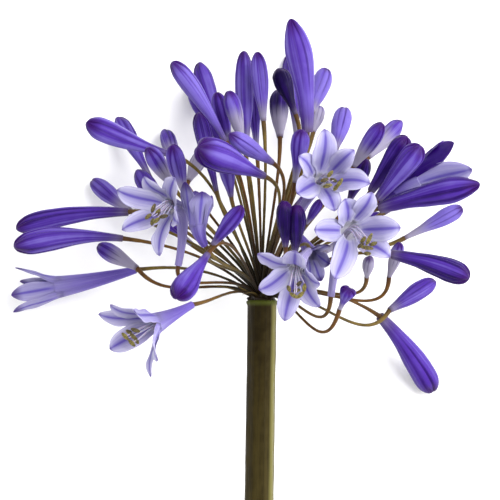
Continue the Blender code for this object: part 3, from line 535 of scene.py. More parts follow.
def makeStalkMaterial(veins, colours):
    material, nodes = newMaterial("brownOliveStalks", 0.42, Specular_IOR_Level=0.16)
    pattern = nodes.group(veins, Veins_Across=4.0, Length_Detail=6.0)
    along, tone = nodes.read("along"), nodes.read("tone")
    body = nodes.layers(
        colours["brown"], colours,
        (nodes.ramp(tone, 0.25, 0.75), "olive"),
        (nodes.ramp(pattern["Streaks"], 0.4, 0.75, 0.0, 0.35), "olive"),
        (nodes.ramp(pattern["Mottle"], 0.6, 0.3, 0.0, 0.45), "hub"),
        # painted shade: the stalks darken towards the hub, under the dense umbel
        (nodes.ramp(along, 0.78, 0.1, 0.0, 0.94), "hub"),
        (nodes.ramp(along, 0.9, 1.0, 0.0, 0.6), "end"))
    nodes.surface(body, pattern["Height"], mottle=pattern["Mottle"], roughness=(0.36, 0.56))
    return material


scapeColours = {
    "olive": rgb(46, 36, 7),
    "dark": rgb(24, 16, 2),
    "green": rgb(70, 60, 26),
    "bright": rgb(136, 130, 74),
    "rim": rgb(86, 94, 30),
    "pith": rgb(196, 202, 150),
    "bark": rgb(108, 120, 66),
}


def makeScapeMaterial(veins, colours):
    material, nodes = newMaterial("greenScape", 0.42, Specular_IOR_Level=0.07)
    pattern = nodes.group(veins, Veins_Across=16.0, Length_Detail=7.0, Grain_Scale=1800.0)
    along, across, cut = (nodes.read(name) for name in ("along", "across", "cut"))
    mottle = pattern["Mottle"]
    litEdge = nodes.math("ABSOLUTE", nodes.math("SUBTRACT", across, 0.075))
    bark = nodes.layers(
        colours["olive"], colours,
        (nodes.ramp(along, 0.02, 0.42), "green"),
        (nodes.ramp(pattern["Streaks"], 0.36, 0.7, 0.0, 0.6), "dark"),
        (nodes.ramp(mottle, 0.35, 0.7, 0.0, 0.35), "green"),
        (nodes.times(pattern["Veins"], 0.22), "dark"),
        (nodes.ramp(litEdge, 0.075, 0.02, 0.0, 0.85), "bright"),
        (nodes.ramp(along, 0.014, 0.004, 0.0, 0.8), "rim"))
    cutFace = nodes.layers(
        colours["pith"], colours,
        (nodes.ramp(cut, 0.72, 0.86), "bark"),
        (nodes.ramp(mottle, 0.6, 0.4, 0.0, 0.25), "bark"))
    body = nodes.mix(nodes.ramp(cut, 0.999, 0.99), bark, cutFace)
    nodes.surface(body, pattern["Height"], 0.6, 0.0003, mottle, (0.34, 0.52))
    return material


stamenColours = {
    "filament": rgb(222, 216, 240),
    "filamentShade": rgb(196, 186, 228),
    "anther": rgb(150, 140, 44),
    "antherEdge": rgb(66, 54, 36),
    "pollen": rgb(206, 178, 52),
    "pollenShade": rgb(150, 128, 40),
}


def makeGrainyMaterial(name, roughness, scale, low, high, colour, shade, **constants):
    material, nodes = newMaterial(name, roughness, **constants)
    here = nodes.make("ShaderNodeTexCoord").outputs["Object"]
    grain = nodes.make("ShaderNodeTexNoise", {"Vector": here, "Scale": scale}).outputs["Fac"]
    nodes.surface(nodes.mix(nodes.ramp(grain, low, high), colour, shade))
    return material


def makeAntherMaterial(veins, colours):
    material, nodes = newMaterial("oliveAnthers", 0.6)
    pattern = nodes.group(veins, Veins_Across=3.0, Length_Detail=4.0, Mottle_Scale=1400.0)
    body = nodes.layers(
        colours["anther"], colours,
        (nodes.ramp(pattern["Mottle"], 0.42, 0.62), "antherEdge"),
        (nodes.ramp(nodes.read("crease"), 0.3, 1.0, 0.0, 0.9), "antherEdge"),
        (nodes.read("tone"), "antherEdge"))
    nodes.surface(body, pattern["Height"], 0.7)
    return material


# Closed buds: three outer tepals wrapped over three inner ones, joined in a tube below and pressed to a tip
budValues = {
    "around": 72,
    "rings": 42,
    "tipRings": 1.45,  # above 1 draws the rings together towards the tip
    "seatGap": 0.3,
    "rollStep": 37.0,
    "rolls": {21: 229.0},  # the biggest bud, whose seam faces the view
    "outerHalf": 41.0,  # degrees on each side of an outer tepal's midrib that it covers
    "tubeDepth": 0.05,  # how far the seams sink below the ridges, as a share of the radius
    "bodyDepth": 0.13,
    "tipDepth": 0.5,
    "twist": 16.0,
    "unevenness": 0.05,
    "fullness": 1.03,  # of the ridges, as a share of the radius
    "long": ((0, 0.38), (0.12, 0.48), (0.3, 0.62), (0.5, 0.84), (0.68, 0.98), (0.78, 1.0),
             (0.88, 0.92), (0.945, 0.7), (0.982, 0.42), (1, 0.08)),
    "pointed": ((0, 0.4), (0.12, 0.5), (0.3, 0.62), (0.5, 0.86), (0.66, 1.0), (0.76, 0.97),
                (0.86, 0.78), (0.94, 0.5), (0.982, 0.28), (1, 0.06)),
    "bud": ((0, 0.26), (0.12, 0.33), (0.3, 0.5), (0.5, 0.78), (0.66, 0.97), (0.76, 1.0),
            (0.87, 0.92), (0.94, 0.7), (0.982, 0.42), (1, 0.08)),
    "loose": ((0, 0.24), (0.15, 0.34), (0.35, 0.62), (0.55, 0.92), (0.7, 1.04), (0.82, 1.0),
              (0.92, 0.84), (0.97, 0.6), (1, 0.16)),
    "spindle": ((0, 0.32), (0.15, 0.48), (0.35, 0.76), (0.55, 0.97), (0.68, 1.0), (0.8, 0.93),
                (0.9, 0.74), (0.96, 0.5), (0.988, 0.28), (1, 0.06)),
    "cup": ((0, 0.26), (0.3, 0.36), (0.55, 0.62), (0.75, 0.9), (0.9, 1.0), (0.97, 0.8), (1, 0.4)),
}


def budAxis(base, tip, bow, gap):
    base, tip = Vector(base), Vector(tip)
    along = (tip - base).normalized()
    start = base + along * gap
    bend = levelSide(along) * bow

    def place(t):
        return start.lerp(tip, t) + bend * (4 * t * (1 - t))

    return place


def tepalRelief(degrees, outerHalf):
    # (how deep the surface lies, ridge mask, crease mask) at an angle round a bud; the bud material paints
    # highlight along the ridges and shade in the creases
    off = abs((degrees + 60) % 120 - 60)
    if off < outerHalf:
        x = off / outerHalf
        depth = 0.42 * x**2.4 + 0.06 * math.exp(-((off / 6) ** 2))
        ridge = math.exp(-((x / 0.6) ** 2))
    else:
        x = (60 - off) / (60 - outerHalf)
        depth = 0.72 + 0.28 * x * x
        ridge = 0.5 * (1 - x * x)
    crease = math.exp(-(((off - outerHalf) / 5.5) ** 2))
    return depth, ridge, crease


def budMesh(rows, values):
    # points, faces and marks of one or more closed buds
    points, faces, marks = [], [], {}
    steps, around = values["rings"], values["around"]
    shares = [1 - (1 - k / steps) ** values["tipRings"] for k in range(steps)]
    for number, (kind, base, tip, width, bow, tone, pale) in rows:
        place = budAxis(base, tip, bow, 0)
        frames = framesAlong([place(t) for t in (*shares, 1)], levelSide(Vector(tip) - Vector(base)))
        roll = values["rolls"].get(number, number * values["rollStep"])
        twist = values["twist"] * random.Random(number).uniform(-1, 1)
        start = len(points)
        shared = {"tone": tone, "pale": pale, "seed": number * 3.7}
        for t, (point, side, other, _) in zip(shares, frames):
            radius = valueAt(values[kind], t) * width / 2
            deep = (values["tubeDepth"] + (values["bodyDepth"] - values["tubeDepth"]) * smooth(t, 0.2, 0.6)
                    + (values["tipDepth"] - values["bodyDepth"]) * smooth(t, 0.82, 1.0) ** 1.5)
            parted, rough = smooth(t, 0.22, 0.5), values["unevenness"] * smooth(t, 0, 0.3)
            for j in range(around):
                degrees = 360 * j / around
                a = math.radians(degrees)
                depth, ridge, crease = tepalRelief(degrees, values["outerHalf"])
                lump = rough * noise.noise(Vector((math.cos(a), math.sin(a), 4 * t + number)) * 1.3)
                reach = radius * (values["fullness"] - depth * deep + lump)
                turn = math.radians(degrees + roll + twist * t)
                points.append(point + (side * math.cos(turn) + other * math.sin(turn)) * reach)
                across = 2 * math.sin(1.5 * a)
                note(marks, along=t, across=across, ridge=ridge, crease=crease * parted, **shared)
        faces += skin(start, steps, around)
        for t in (0, 1):
            points.append(place(t))
            note(marks, along=t, across=0, ridge=0, crease=0, **shared)
        foot, top = len(points) - 2, len(points) - 1
        last = start + (steps - 1) * around
        for j in range(around):
            ahead = (j + 1) % around
            faces += [(start + ahead, start + j, foot), (last + j, last + ahead, top)]
    return points, faces, marks


# Flowers: a tube, and six tepals that leave it at the throat, three of them over the other three
flowerValues = {
    "columns": 16,  # across one tepal
    "tubeRows": 20,
    "sunkRows": 5,  # of a tepal, inside the tube's wall
    "lobeRows": 30,
    "baseRadius": 1.45,
    "tubeShare": 0.45,  # of the whole length, as the materials count it
    "youngFlare": 40.0,  # degrees up to which a floret is still about to open
    "fullFlare": 80.0,  # degrees at which the edges wave fully
    "swell": 1.4,
    "youngSwell": 0.95,
    "seam": 0.07,
    "overlap": 1.4,  # how far a tepal reaches at the throat, as a share of its own sixth
    "layer": 0.55,  # how far the three inner tepals lie inside the tube's wall
    "outerLayer": -0.08,
    "sunkDepth": 0.2,
    "innerWidth": 1.06,
    "outerWidth": 0.92,
    "innerCup": 0.14,
    "outerCup": 0.05,
    "room": 1.5,
    "widestGap": 0.68,
    "throatAngle": 38.0,
    "leaveShare": 0.6,  # of the flare, at the throat, where that is less than the throat's angle
    "pull": 0.38,  # of a tepal's length, at both ends of its curve
    "tipRows": 1.35,  # above 1 draws the rows together towards the tip
    "toneFade": (0.12, 0.42),  # from where to where up the tube a tepal's own tone takes over
    "thickness": 0.36,
    "edgeThickness": 0.14,
    "midrib": 0.2,
    "wave": 0.42,
    "freeFrom": 0.24,  # share of a tepal's length after which it no longer follows the throat's round
    "youngFreeFrom": 0.5,
    "shape": ((0, 0.8), (0.2, 0.92), (0.45, 1.0), (0.68, 0.93), (0.84, 0.69), (0.94, 0.38), (0.98, 0.18),
              (1, 0.0)),
}


def facing(throat, tips):
    middle = sum((Vector(tip) for tip in tips), Vector()) / len(tips)
    return (middle - Vector(throat)).normalized()


def flowerAxis(base, throat, tips, gap):
    start, end = Vector(base), Vector(throat)
    lead = 0.45  # of the tube's length, over which it turns to where the flower looks
    bend = end - facing(throat, tips) * ((end - start).length * lead)
    start = start + (bend - start).normalized() * gap

    def place(t):
        return start * (1 - t) ** 2 + bend * (2 * t * (1 - t)) + end * t * t

    return place


class Sheet:
    # a skin of points and faces with its marks, made thick once it is whole
    def __init__(self):
        self.points, self.faces, self.marks = [], [], {}

    def add(self, point, along, across, tone):
        self.points.append(point)
        note(self.marks, along=along, across=across, tone=tone)
        return len(self.points) - 1

    def join(self, rows):
        for low, high in zip(rows, rows[1:]):
            self.faces += zip(low, low[1:], high[1:], high)


def flowerMesh(row, number, paler, narrower, values):
    base, throat, throatRadius, width, flare, tips, tone = row
    young = flare <= values["youngFlare"]
    swell = values["youngSwell" if young else "swell"]
    freeFrom = values["youngFreeFrom" if young else "freeFrom"]
    wave = values["wave"] * flare / values["fullFlare"]
    tubeShare, layers = values["tubeShare"], (values["outerLayer"], values["layer"])
    rng = random.Random(number * 17 + 5)
    axis = flowerAxis(base, throat, tips, 0)
    look, middle = facing(throat, tips), Vector(throat)
    tubeShares = [k / values["tubeRows"] for k in range(values["tubeRows"] + 1)]
    frames = framesAlong([axis(t) for t in tubeShares], levelSide(axis(0.1) - axis(0)))
    _, side, other, _ = frames[-1]
    lobes = []
    for place, tip in enumerate(map(Vector, tips)):
        out = tip - middle
        out -= look * out.dot(look)
        turn = math.atan2(out.dot(other), out.dot(side)) % math.tau
        lobes.append((turn, tip, out.normalized(), tone + paler.get(place, 0.0), narrower.get(place, 1.0)))
    lobes.sort(key=lambda lobe: lobe[0])
    turns = [lobe[0] for lobe in lobes]
    gapsAfter = [(b - a) % math.tau / 2 for a, b in zip(turns, turns[1:] + turns[:1])]
    gapsBefore = gapsAfter[-1:] + gapsAfter[:-1]
    columns = values["columns"]
    xs = [2 * j / columns - 1 for j in range(columns + 1)]

    def ringPoint(k, x, t, frameHere, layer=0.0):
        point, s, o, _ = frameHere
        gap = gapsAfter[k] if x > 0 else gapsBefore[k]
        angle = turns[k] + x * gap
        radius = values["baseRadius"] + (throatRadius - values["baseRadius"]) * t ** swell
        share = 1 - values["seam"] * min(abs(x), 1) ** 4 + 0.03 * math.exp(-((x / 0.3) ** 2)) * t
        return point + (s * math.cos(angle) + o * math.sin(angle)) * (radius * share - layer)

    def toneAt(k, along, x=0.0):
        return tone + (lobes[k][3] - tone) * smooth(along, *values["toneFade"]) * (1 - x**4)

    tube = Sheet()
    rings = []
    for t, frameHere in zip(tubeShares, frames):
        ring = [tube.add(ringPoint(k, x, t, frameHere), tubeShare * t, x, toneAt(k, tubeShare * t, x))
                for k in range(6) for x in xs[:-1]]
        rings.append(ring + ring[:1])
    tube.join(rings)
    foot = tube.add(axis(0), 0, 0, tone)
    tube.faces += [(b, a, foot) for a, b in zip(rings[0], rings[0][1:])]
    sheets = [tube]

    for k, (_, tip, out, _, narrow) in enumerate(lobes):
        isInner = k % 2 == 0
        layer = layers[isInner]
        reachAcross = values["overlap"] if isInner else 0.5 * (1 + values["overlap"])
        fullWidth = width * narrow * values["innerWidth" if isInner else "outerWidth"]
        across = look.cross(out)
        cup = values["innerCup" if isInner else "outerCup"]
        leave = math.radians(min(values["throatAngle"], values["leaveShare"] * flare))
        arriveAt = math.radians(flare)
        start = middle + out * throatRadius
        pull = (tip - start).length * values["pull"]
        setOff = look * math.cos(leave) + out * math.sin(leave)
        arrive = look * math.cos(arriveAt) + out * math.sin(arriveAt)
        line = (start, start + setOff * pull, tip - arrive * pull, tip)
        phase, ripples = rng.uniform(0, math.tau), rng.uniform(1.6, 2.6)
        lean = rng.uniform(-0.3, 0.3)
        tepal, rows, sunk = Sheet(), [], values["sunkRows"] - 1
        for down, (t, frameHere) in enumerate(list(zip(tubeShares, frames))[-sunk - 1:]):
            depth = values["sunkDepth"] + (layer - values["sunkDepth"]) * smooth(down / sunk)
            rows.append([tepal.add(ringPoint(k, x * reachAcross, t, frameHere, depth), tubeShare * t, x,
                                   toneAt(k, tubeShare * t)) for x in xs])
        for step in range(1, values["lobeRows"]):
            s = 1 - (1 - step / values["lobeRows"]) ** values["tipRows"]
            centre = bezier(*line, s)
            heading = (bezier(*line, min(s + 0.02, 1)) - bezier(*line, s - 0.02)).normalized()
            inside = heading.cross(across)
            if inside.dot(out) > 0 and inside.dot(look) < 0.5:
                inside = -inside
            away = (centre - middle).dot(out) + min(0, inside.dot(out)) * 0.7
            blend = smooth(s, 0.0, freeFrom)
            raised = layer * (1 - smooth(s, 0.25, 0.95))
            along = tubeShare + (1 - tubeShare) * s
            rows.append([])
            for x in xs:
                gap = gapsAfter[k] if x > 0 else gapsBefore[k]
                room = values["room"] * away * math.tan(min(gap, values["widestGap"]))
                half = min(valueAt(values["shape"], s) * fullWidth / 2, room)
                lift = raised + cup * half * x * x
                ripple = math.sin(math.tau * ripples * s + phase + 2 * x) * abs(x) ** 3
                lift += wave * ripple * 4 * s * (1 - s)
                lift += lean * x * half * s * (1 - s)
                lift -= values["midrib"] * math.exp(-((x / 0.16) ** 2)) * (1 - s) * blend
                free = centre + across * (x * half) + inside * lift
                tied = ringPoint(k, x * reachAcross, 1.0, frames[-1], layer) + (centre - start)
                rows[-1].append(tepal.add(tied.lerp(free, blend), along, x, toneAt(k, along)))
        tepal.join(rows)
        end = tepal.add(tip, 1, 0, toneAt(k, 1))
        tepal.faces += [(a, b, end) for a, b in zip(rows[-1], rows[-1][1:])]
        sheets.append(tepal)

    points, faces, marks = [], [], {"along": [], "across": [], "inner": [], "tone": []}
    for sheet in sheets:
        sheetPoints, sheetFaces, sheetMarks = thickenSheet(sheet, values)
        faces += [tuple(v + len(points) for v in face) for face in sheetFaces]
        points += sheetPoints
        for key in marks:
            marks[key] += sheetMarks[key]
    return points, faces, marks


def pointNormals(points, faces):
    normals = [Vector() for _ in points]
    for face in faces:
        a, b, c = (points[v] for v in face[:3])
        if len(face) == 4:
            n = (points[face[2]] - a).cross(points[face[3]] - b)
        else:
            n = (b - a).cross(c - a)
        for v in face:
            normals[v] += n
    return [n.normalized() for n in normals]


def thickenSheet(sheet, values):
    # a second skin inside the first, thinner towards the tepals' edges, and the rim between them
    points, faces, marks = sheet.points, sheet.faces, sheet.marks
    count = len(points)
    normals = pointNormals(points, faces)
    thinner = values["thickness"] - values["edgeThickness"]
    depth = [values["thickness"] - thinner * smooth(abs(x), 0.55, 1.0) * smooth(a, values["tubeShare"], 0.6)
             for x, a in zip(marks["across"], marks["along"])]
    used = set()
    for face in faces:
        used.update(zip(face, face[1:] + face[:1]))
    inner = [p - n * d for p, n, d in zip(points, normals, depth)]
    made = list(faces) + [tuple(v + count for v in face[::-1]) for face in faces]
    made += [(b, a, a + count, b + count) for a, b in used if (b, a) not in used]
    marks = {key: values + values for key, values in marks.items()}
    marks["inner"] = [0.0] * count + [1.0] * count
    return points + inner, made, marks


# Trees that grow pieces from curves and surfaces
def newGeometryTree(name, **inputs):
    # a tree with its named inputs, as nodes to add to and what the inputs give
    tree = bpy.data.node_groups.new(name, "GeometryNodeTree")
    tree.interface.new_socket("Geometry", in_out="INPUT", socket_type="NodeSocketGeometry")
    for label, default in inputs.items():
        kind = "NodeSocketInt" if isinstance(default, int) else "NodeSocketFloat"
        socket = tree.interface.new_socket(label.replace("_", " "), in_out="INPUT", socket_type=kind)
        socket.default_value = default
    tree.interface.new_socket("Material", in_out="INPUT", socket_type="NodeSocketMaterial")
    tree.interface.new_socket("Geometry", in_out="OUTPUT", socket_type="NodeSocketGeometry")
    nodes = Nodes(tree)
    return nodes, nodes.make("NodeGroupInput").outputs


def endTree(nodes, given, geometry):
    real = nodes.make("GeometryNodeRealizeInstances", {"Geometry": geometry}).outputs[0]
    painted = nodes.make("GeometryNodeSetMaterial", {"Geometry": real, "Material": given["Material"]})
    nodes.make("NodeGroupOutput", {"Geometry": painted.outputs[0]})
    return nodes.tree


def makeStalkTree():
    # a stalk along each spline, as thick as the spline's own radius says
    nodes, given = newGeometryTree("stalksAlongCurves", Sides=12, Step=0.001, Unevenness=0.00006, Seed=4)
    paths = nodes.make("GeometryNodeResampleCurve", {"Curve": given["Geometry"], "Length": given["Step"]},
                       mode="LENGTH").outputs[0]
    paths = nodes.keep(paths, "along", nodes.make("GeometryNodeSplineParameter").outputs["Factor"])
    index = nodes.make("GeometryNodeInputIndex").outputs[0]
    paths = nodes.keep(paths, "tone", nodes.chance({"ID": index, "Seed": given["Seed"]}), "CURVE")
    circle = nodes.make("GeometryNodeCurvePrimitiveCircle", {"Radius": 1.0, "Resolution": given["Sides"]},
                        mode="RADIUS").outputs["Curve"]
    fold = nodes.math("PINGPONG", nodes.make("GeometryNodeSplineParameter").outputs["Factor"], 0.5)
    circle = nodes.keep(circle, "across", nodes.times(fold, 2.0))
    tube = nodes.make("GeometryNodeCurveToMesh", {"Curve": paths, "Profile Curve": circle, "Fill Caps": True})
    if "Scale" in tube.inputs:
        nodes.put(nodes.make("GeometryNodeInputRadius").outputs[0], tube.inputs["Scale"])
    bumps = nodes.make("ShaderNodeTexNoise", {"Scale": 320.0}).outputs["Fac"]
    amount = nodes.times(nodes.math("SUBTRACT", bumps, 0.5), given["Unevenness"])
    push = nodes.make("ShaderNodeVectorMath", operation="SCALE")
    nodes.put(nodes.make("GeometryNodeInputNormal").outputs[0], push.inputs[0])
    nodes.put(amount, push.inputs["Scale"])
    moved = nodes.make("GeometryNodeSetPosition", {"Geometry": tube.outputs[0], "Offset": push.outputs[0]})
    smoothed = nodes.make("GeometryNodeSetShadeSmooth", {"Geometry": moved.outputs[0]})
    return endTree(nodes, given, smoothed.outputs[0])


def makePollenTree():
    # grains strewn over a surface
    nodes, given = newGeometryTree("pollenOnAnthers", Density=5e6, Grain_Size=7e-5, Seed=1)
    strewn = nodes.make("GeometryNodeDistributePointsOnFaces", {
        "Mesh": given["Geometry"], "Density": given["Density"], "Seed": given["Seed"]},
        distribute_method="RANDOM").outputs["Points"]
    grain = nodes.make("GeometryNodeMeshIcoSphere", {"Subdivisions": 1, "Radius": given["Grain Size"]})
    size = nodes.chance({"Seed": given["Seed"]}, 0.7, 1.4)
    placed = nodes.make("GeometryNodeInstanceOnPoints", {
        "Points": strewn, "Instance": grain.outputs["Mesh"], "Scale": size})
    return endTree(nodes, given, placed.outputs[0])


def applyTree(name, source, tree, material, **values):
    # the plain mesh that a tree makes from an object, which is then removed
    values["Material"] = material
    modifier = source.modifiers.new("tree", "NODES")
    modifier.node_group = tree
    for item in tree.interface.items_tree:
        key = item.name.replace(" ", "_")
        if item.in_out == "INPUT" and key in values:
            modifier[item.identifier] = values[key]
    graph = bpy.context.evaluated_depsgraph_get()
    mesh = bpy.data.meshes.new_from_object(source.evaluated_get(graph), depsgraph=graph)
    mesh.name = name
    if not mesh.materials:
        mesh.materials.append(material)
    bpy.data.objects.remove(source)
    piece = bpy.data.objects.new(name, mesh)
    scene.collection.objects.link(piece)
    return piece


def makeCurve(name, paths):
    # a curve with one spline for each (points, radii) in millimetres
    curve = bpy.data.curves.new(name, "CURVE")
    curve.dimensions = "3D"
    for points, radii in paths:
        spline = curve.splines.new("POLY")
        spline.points.add(len(points) - 1)
        for target, point, radius in zip(spline.points, points, radii):
            target.co = (*toWorld(point), 1)
            target.radius = radius * mm
    holder = bpy.data.objects.new(name, curve)
    scene.collection.objects.link(holder)
    return holder


# Pedicels
pedicelValues = {
    "radius": 0.55,
    "endRadius": 1.0,
    "endSwell": 5,  # the higher, the nearer to its end a stalk thickens
    "rootDepth": 3.2,
    "rootRise": 0.46,
    "setOff": 0.4,  # how far a stalk keeps its first direction, as a share of its reach
    "arrive": 0.3,
    "rootBend": 0.25,  # share of its bend that a stalk has near the hub
    "points": 44,
    "sides": 14,
    "step": 0.0011,
    "unevenness": 0.00022,
    "seed": 11,
}


def pedicelEnds():
    # where each pedicel ends, and the direction its flower sets off in
    gap = budValues["seatGap"]
    twins = {f"{name}_{k}": row for name, pair in twinBuds.items() for k, row in enumerate(pair)}
    axes = {name: (row[1], budAxis(row[1], row[2], row[4], gap)) for name, row in (buds | twins).items()}
    axes |= {name: (row[1], budAxis(row[1], row[2], 0, gap)) for name, row in youngBuds.items()}
    axes |= {name: (row[0], flowerAxis(row[0], row[1], row[5], gap)) for name, row in flowers.items()}
    return {name: (base, (axis(0.02) - axis(0)).normalized()) for name, (base, axis) in axes.items()}


def pedicelPath(base, arrival, bend, values):
    end, bend = Vector(base), Vector(bend)
    outward = end.normalized()
    level = Vector((outward.x, max(outward.y, 0) + values["rootRise"], outward.z)).normalized()
    root = level * values["rootDepth"]
    reach = (end - root).length
    nearRoot = root + level * (values["setOff"] * reach) + bend * values["rootBend"]
    nearEnd = end - arrival * (values["arrive"] * reach) + bend
    last = values["points"] - 1
    return [bezier(root, nearRoot, nearEnd, end, k / last) for k in range(last + 1)]


def makePedicels(tree, material, values):
    thicker, last = values["endRadius"] - values["radius"], values["points"] - 1
    radii = [values["radius"] + thicker * (k / last) ** values["endSwell"] for k in range(last + 1)]
    paths = [(pedicelPath(base, arrival, pedicelBends.get(name, (0, 0, 0)), values), radii)
             for name, (base, arrival) in pedicelEnds().items()]
    curve = makeCurve("pedicelPaths", paths)
    stalks = applyTree("flower_stalks", curve, tree, material, Sides=values["sides"], Step=values["step"],
                       Unevenness=values["unevenness"], Seed=values["seed"])
    finishPiece(stalks, "pedicels", ("pedicels",))


receptacleValues = {"radius": 5.3, "height": 4.6, "sunk": 0.3, "around": 72, "rings": 22, "lumps": 0.28}


def makeReceptacle(material, values):
    # the low dome that the stalks grow from, lumpy where they leave it
    points, marks = [], {}
    around, rings = values["around"], values["rings"]

    def add(x, y, z, across):
        points.append(Vector((x, y - values["sunk"], z)))
        # along 0.1 gives the dome the stalks' painted shade near the hub
        note(marks, along=0.1, across=across, tone=0.3, seed=1.0)

    for k in range(rings):
        rise = math.sin(0.5 * math.pi * k / rings)
        for j in range(around):
            a = math.tau * j / around
            lump = 1 + values["lumps"] * noise.noise(Vector((3 * math.cos(a), 3 * math.sin(a), 4 * rise)))
            radius = values["radius"] * math.sqrt(1 - rise * rise) * lump
            add(radius * math.cos(a), rise * values["height"] * lump, radius * math.sin(a), j / around)
    add(0, values["height"], 0, 0)
    add(0, 0, 0, 0)
    faces = skin(0, rings, around, flip=True)
    top, foot, last = len(points) - 2, len(points) - 1, (rings - 1) * around
    for j in range(around):
        ahead = (j + 1) % around
        faces += [(last + ahead, last + j, top), (j, ahead, foot)]
    makePiece("umbel_base", points, faces, material, marks, "pedicels", ("pedicels",))


# Scape
scapeValues = {
    "length": 200.0,
    "radius": 5.8,
    "endRadius": 6.1,
    "neck": 0.25,
    "drift": -3.0,
    "sag": 2.0,
    "pressed": 0.5,  # how far the end's round presses flat on the floor
    "around": 112,
    "rings": 190,
    "collarHeight": 2.4,
    "collarSwell": 0.5,
    "collarRings": (0.0, 0.25, 0.5, 0.8, 1.1, 1.5, 1.9, 2.3, 2.8),  # how far down each lies
    "ribs": 9,
    "ribHeight": 0.1,
    "rough": 0.12,
    "torn": 0.35,  # how uneven the collar is
    "cutSlant": 0.35,
    "topShrinks": (0.05, 0.5, 0.86),
    "cutEnd": ((0.985, -0.05, 0.98), (0.9, -0.02, 0.9), (0.82, 0.12, 0.8), (0.55, 0.3, 0.55),
               (0.25, 0.34, 0.25), (0.03, 0.34, 0.03)),  # shrink, dip and cut mark of each ring
}


def makeScape(material, values):
    drop = hubHeight - values["endRadius"] + values["pressed"]
    around, length, collarRings = values["around"], values["length"], values["collarRings"]
    points, marks = [], {}

    def ringAt(down, shrink=1.0, dip=0.0, cut=1.0):
        share = down / length
        sag = values["sag"] * 4 * share * (1 - share)
        lean = Vector((values["drift"] * share, -down, -drop * share - sag))
        collar = smooth(down, 0, 0.7) * smooth(down, values["collarHeight"], 0.9)
        radius = (values["radius"] + (values["endRadius"] - values["radius"]) * share**2
                  + values["collarSwell"] * collar - values["neck"] * smooth(down, 0.5, 0.0))
        for j in range(around):
            a = math.tau * (j + 0.5) / around
            x, z = math.cos(a), math.sin(a)
            ribs = values["ribHeight"] * math.cos(values["ribs"] * a + 1.5 * share) * smooth(down, 1, 14)
            rough = values["rough"] * noise.noise(Vector((2.2 * x, 2.2 * z, down * 0.12)))
            torn = values["torn"] * noise.noise(Vector((5 * x, 5 * z, 3.0))) * collar
            here = (radius + ribs + rough + torn) * shrink
            slant = values["cutSlant"] * here * z if down >= length - 0.01 else 0
            points.append(lean + Vector((here * x, slant + dip, here * z)))
            note(marks, along=share, across=j / around, cut=cut, tone=0.5, seed=2.0)

    # the top face, the collar, the long stem, then the cut end with its dished pith
    for shrink in values["topShrinks"]:
        ringAt(0.0, shrink)
    for down in collarRings:
        ringAt(down)
    more = values["rings"] - len(collarRings)
    for k in range(1, more + 1):
        ringAt(collarRings[-1] + (length - collarRings[-1]) * (k / more))
    for shrink, dip, cut in values["cutEnd"]:
        ringAt(length, shrink, dip, cut)
    last = len(points) - around
    faces = skin(0, len(points) // around, around, flip=True)
    faces += [tuple(range(around)), tuple(range(last + around - 1, last - 1, -1))]
    makePiece("stem_scape", points, faces, material, marks, "scape", ("scape",), sharp=60)


# Bracteoles: thin dry blades between the pedicels at the hub
bracteoleValues = {
    "count": 16,
    "steps": 12,
    "length": (7.0, 15.0),
    "width": 0.95,
    "thickness": 0.16,
    "tipWidth": 0.04,
    "root": (4.4, 1.6),  # how far out from the hub's middle, and how high
    "seed": 7,
}


def makeBracteoles(material, values):
    rng = random.Random(values["seed"])
    points, faces, marks = [], [], {}
    steps, (rootOut, rootUp) = values["steps"], values["root"]
    for number in range(values["count"]):
        angle = math.tau * (number + rng.uniform(-0.3, 0.3)) / values["count"]
        out = Vector((math.cos(angle), rng.uniform(0.35, 0.9), math.sin(angle))).normalized()
        length = rng.uniform(*values["length"])
        root = Vector((math.cos(angle) * rootOut, rootUp, math.sin(angle) * rootOut))
        droop = Vector((rng.uniform(-0.2, 0.2), rng.uniform(-0.5, 0.3), rng.uniform(-0.2, 0.2)))
        shares = [k / steps for k in range(steps + 1)]
        path = [root + out * (length * t) + droop * (length * t * t) for t in shares]
        start = len(points)
        for t, (point, side, other, _) in zip(shares, framesAlong(path, levelSide(out))):
            half = values["width"] * (1 - t) ** 0.7 / 2 + values["tipWidth"]
            for x, y in ((-1, 0), (0, 1), (1, 0), (0, -1)):
                points.append(point + side * (x * half) + other * (y * values["thickness"] / 2))
                # along 0.2 to 0.7 gives the blades the stalks' painted shade near the hub, darkest at their
                # roots
                note(marks, along=0.2 + 0.5 * t, across=x / 2, tone=0.7, seed=number)
        end = start + 4 * steps
        faces += skin(start, steps + 1, 4)
        faces += [(start + 3, start + 2, start + 1, start), (end, end + 1, end + 2, end + 3)]
    makePiece("dry_bracteoles", points, faces, material, marks, "pedicels")


# Stamens and style
stamenValues = {
    "pistil": ((0.07, 0.4), (0.35, 0.66), (0.62, 1.1), (0.74, 1.15)),  # share of the tube, radius
    "pistilSteps": 20,
    "foot": 0.8,
    "styleReach": 1.5,
    "filamentBase": 0.42,
    "filamentTip": 0.18,
    "filamentSteps": 30,
    "filamentSides": 10,
    "filamentStep": 0.0007,
    "filamentUnevenness": 0.00005,
    "filamentSeed": 3,
    "setOff": 0.62,  # how far a filament keeps the tube's direction, as a share of its reach
    "arrive": 0.25,
    "antherTilt": 0.12,
    "antherRadius": 0.82,
    "antherDepth": 0.78,  # of its width
    "antherCurve": 1.2,
    "furrowDepth": 0.34,
    "furrowWidth": 0.3,
    "antherRings": 16,
    "antherSides": 20,
    "pollenPerSquareMm": 5.0,
    "pollenSize": 0.075,
}


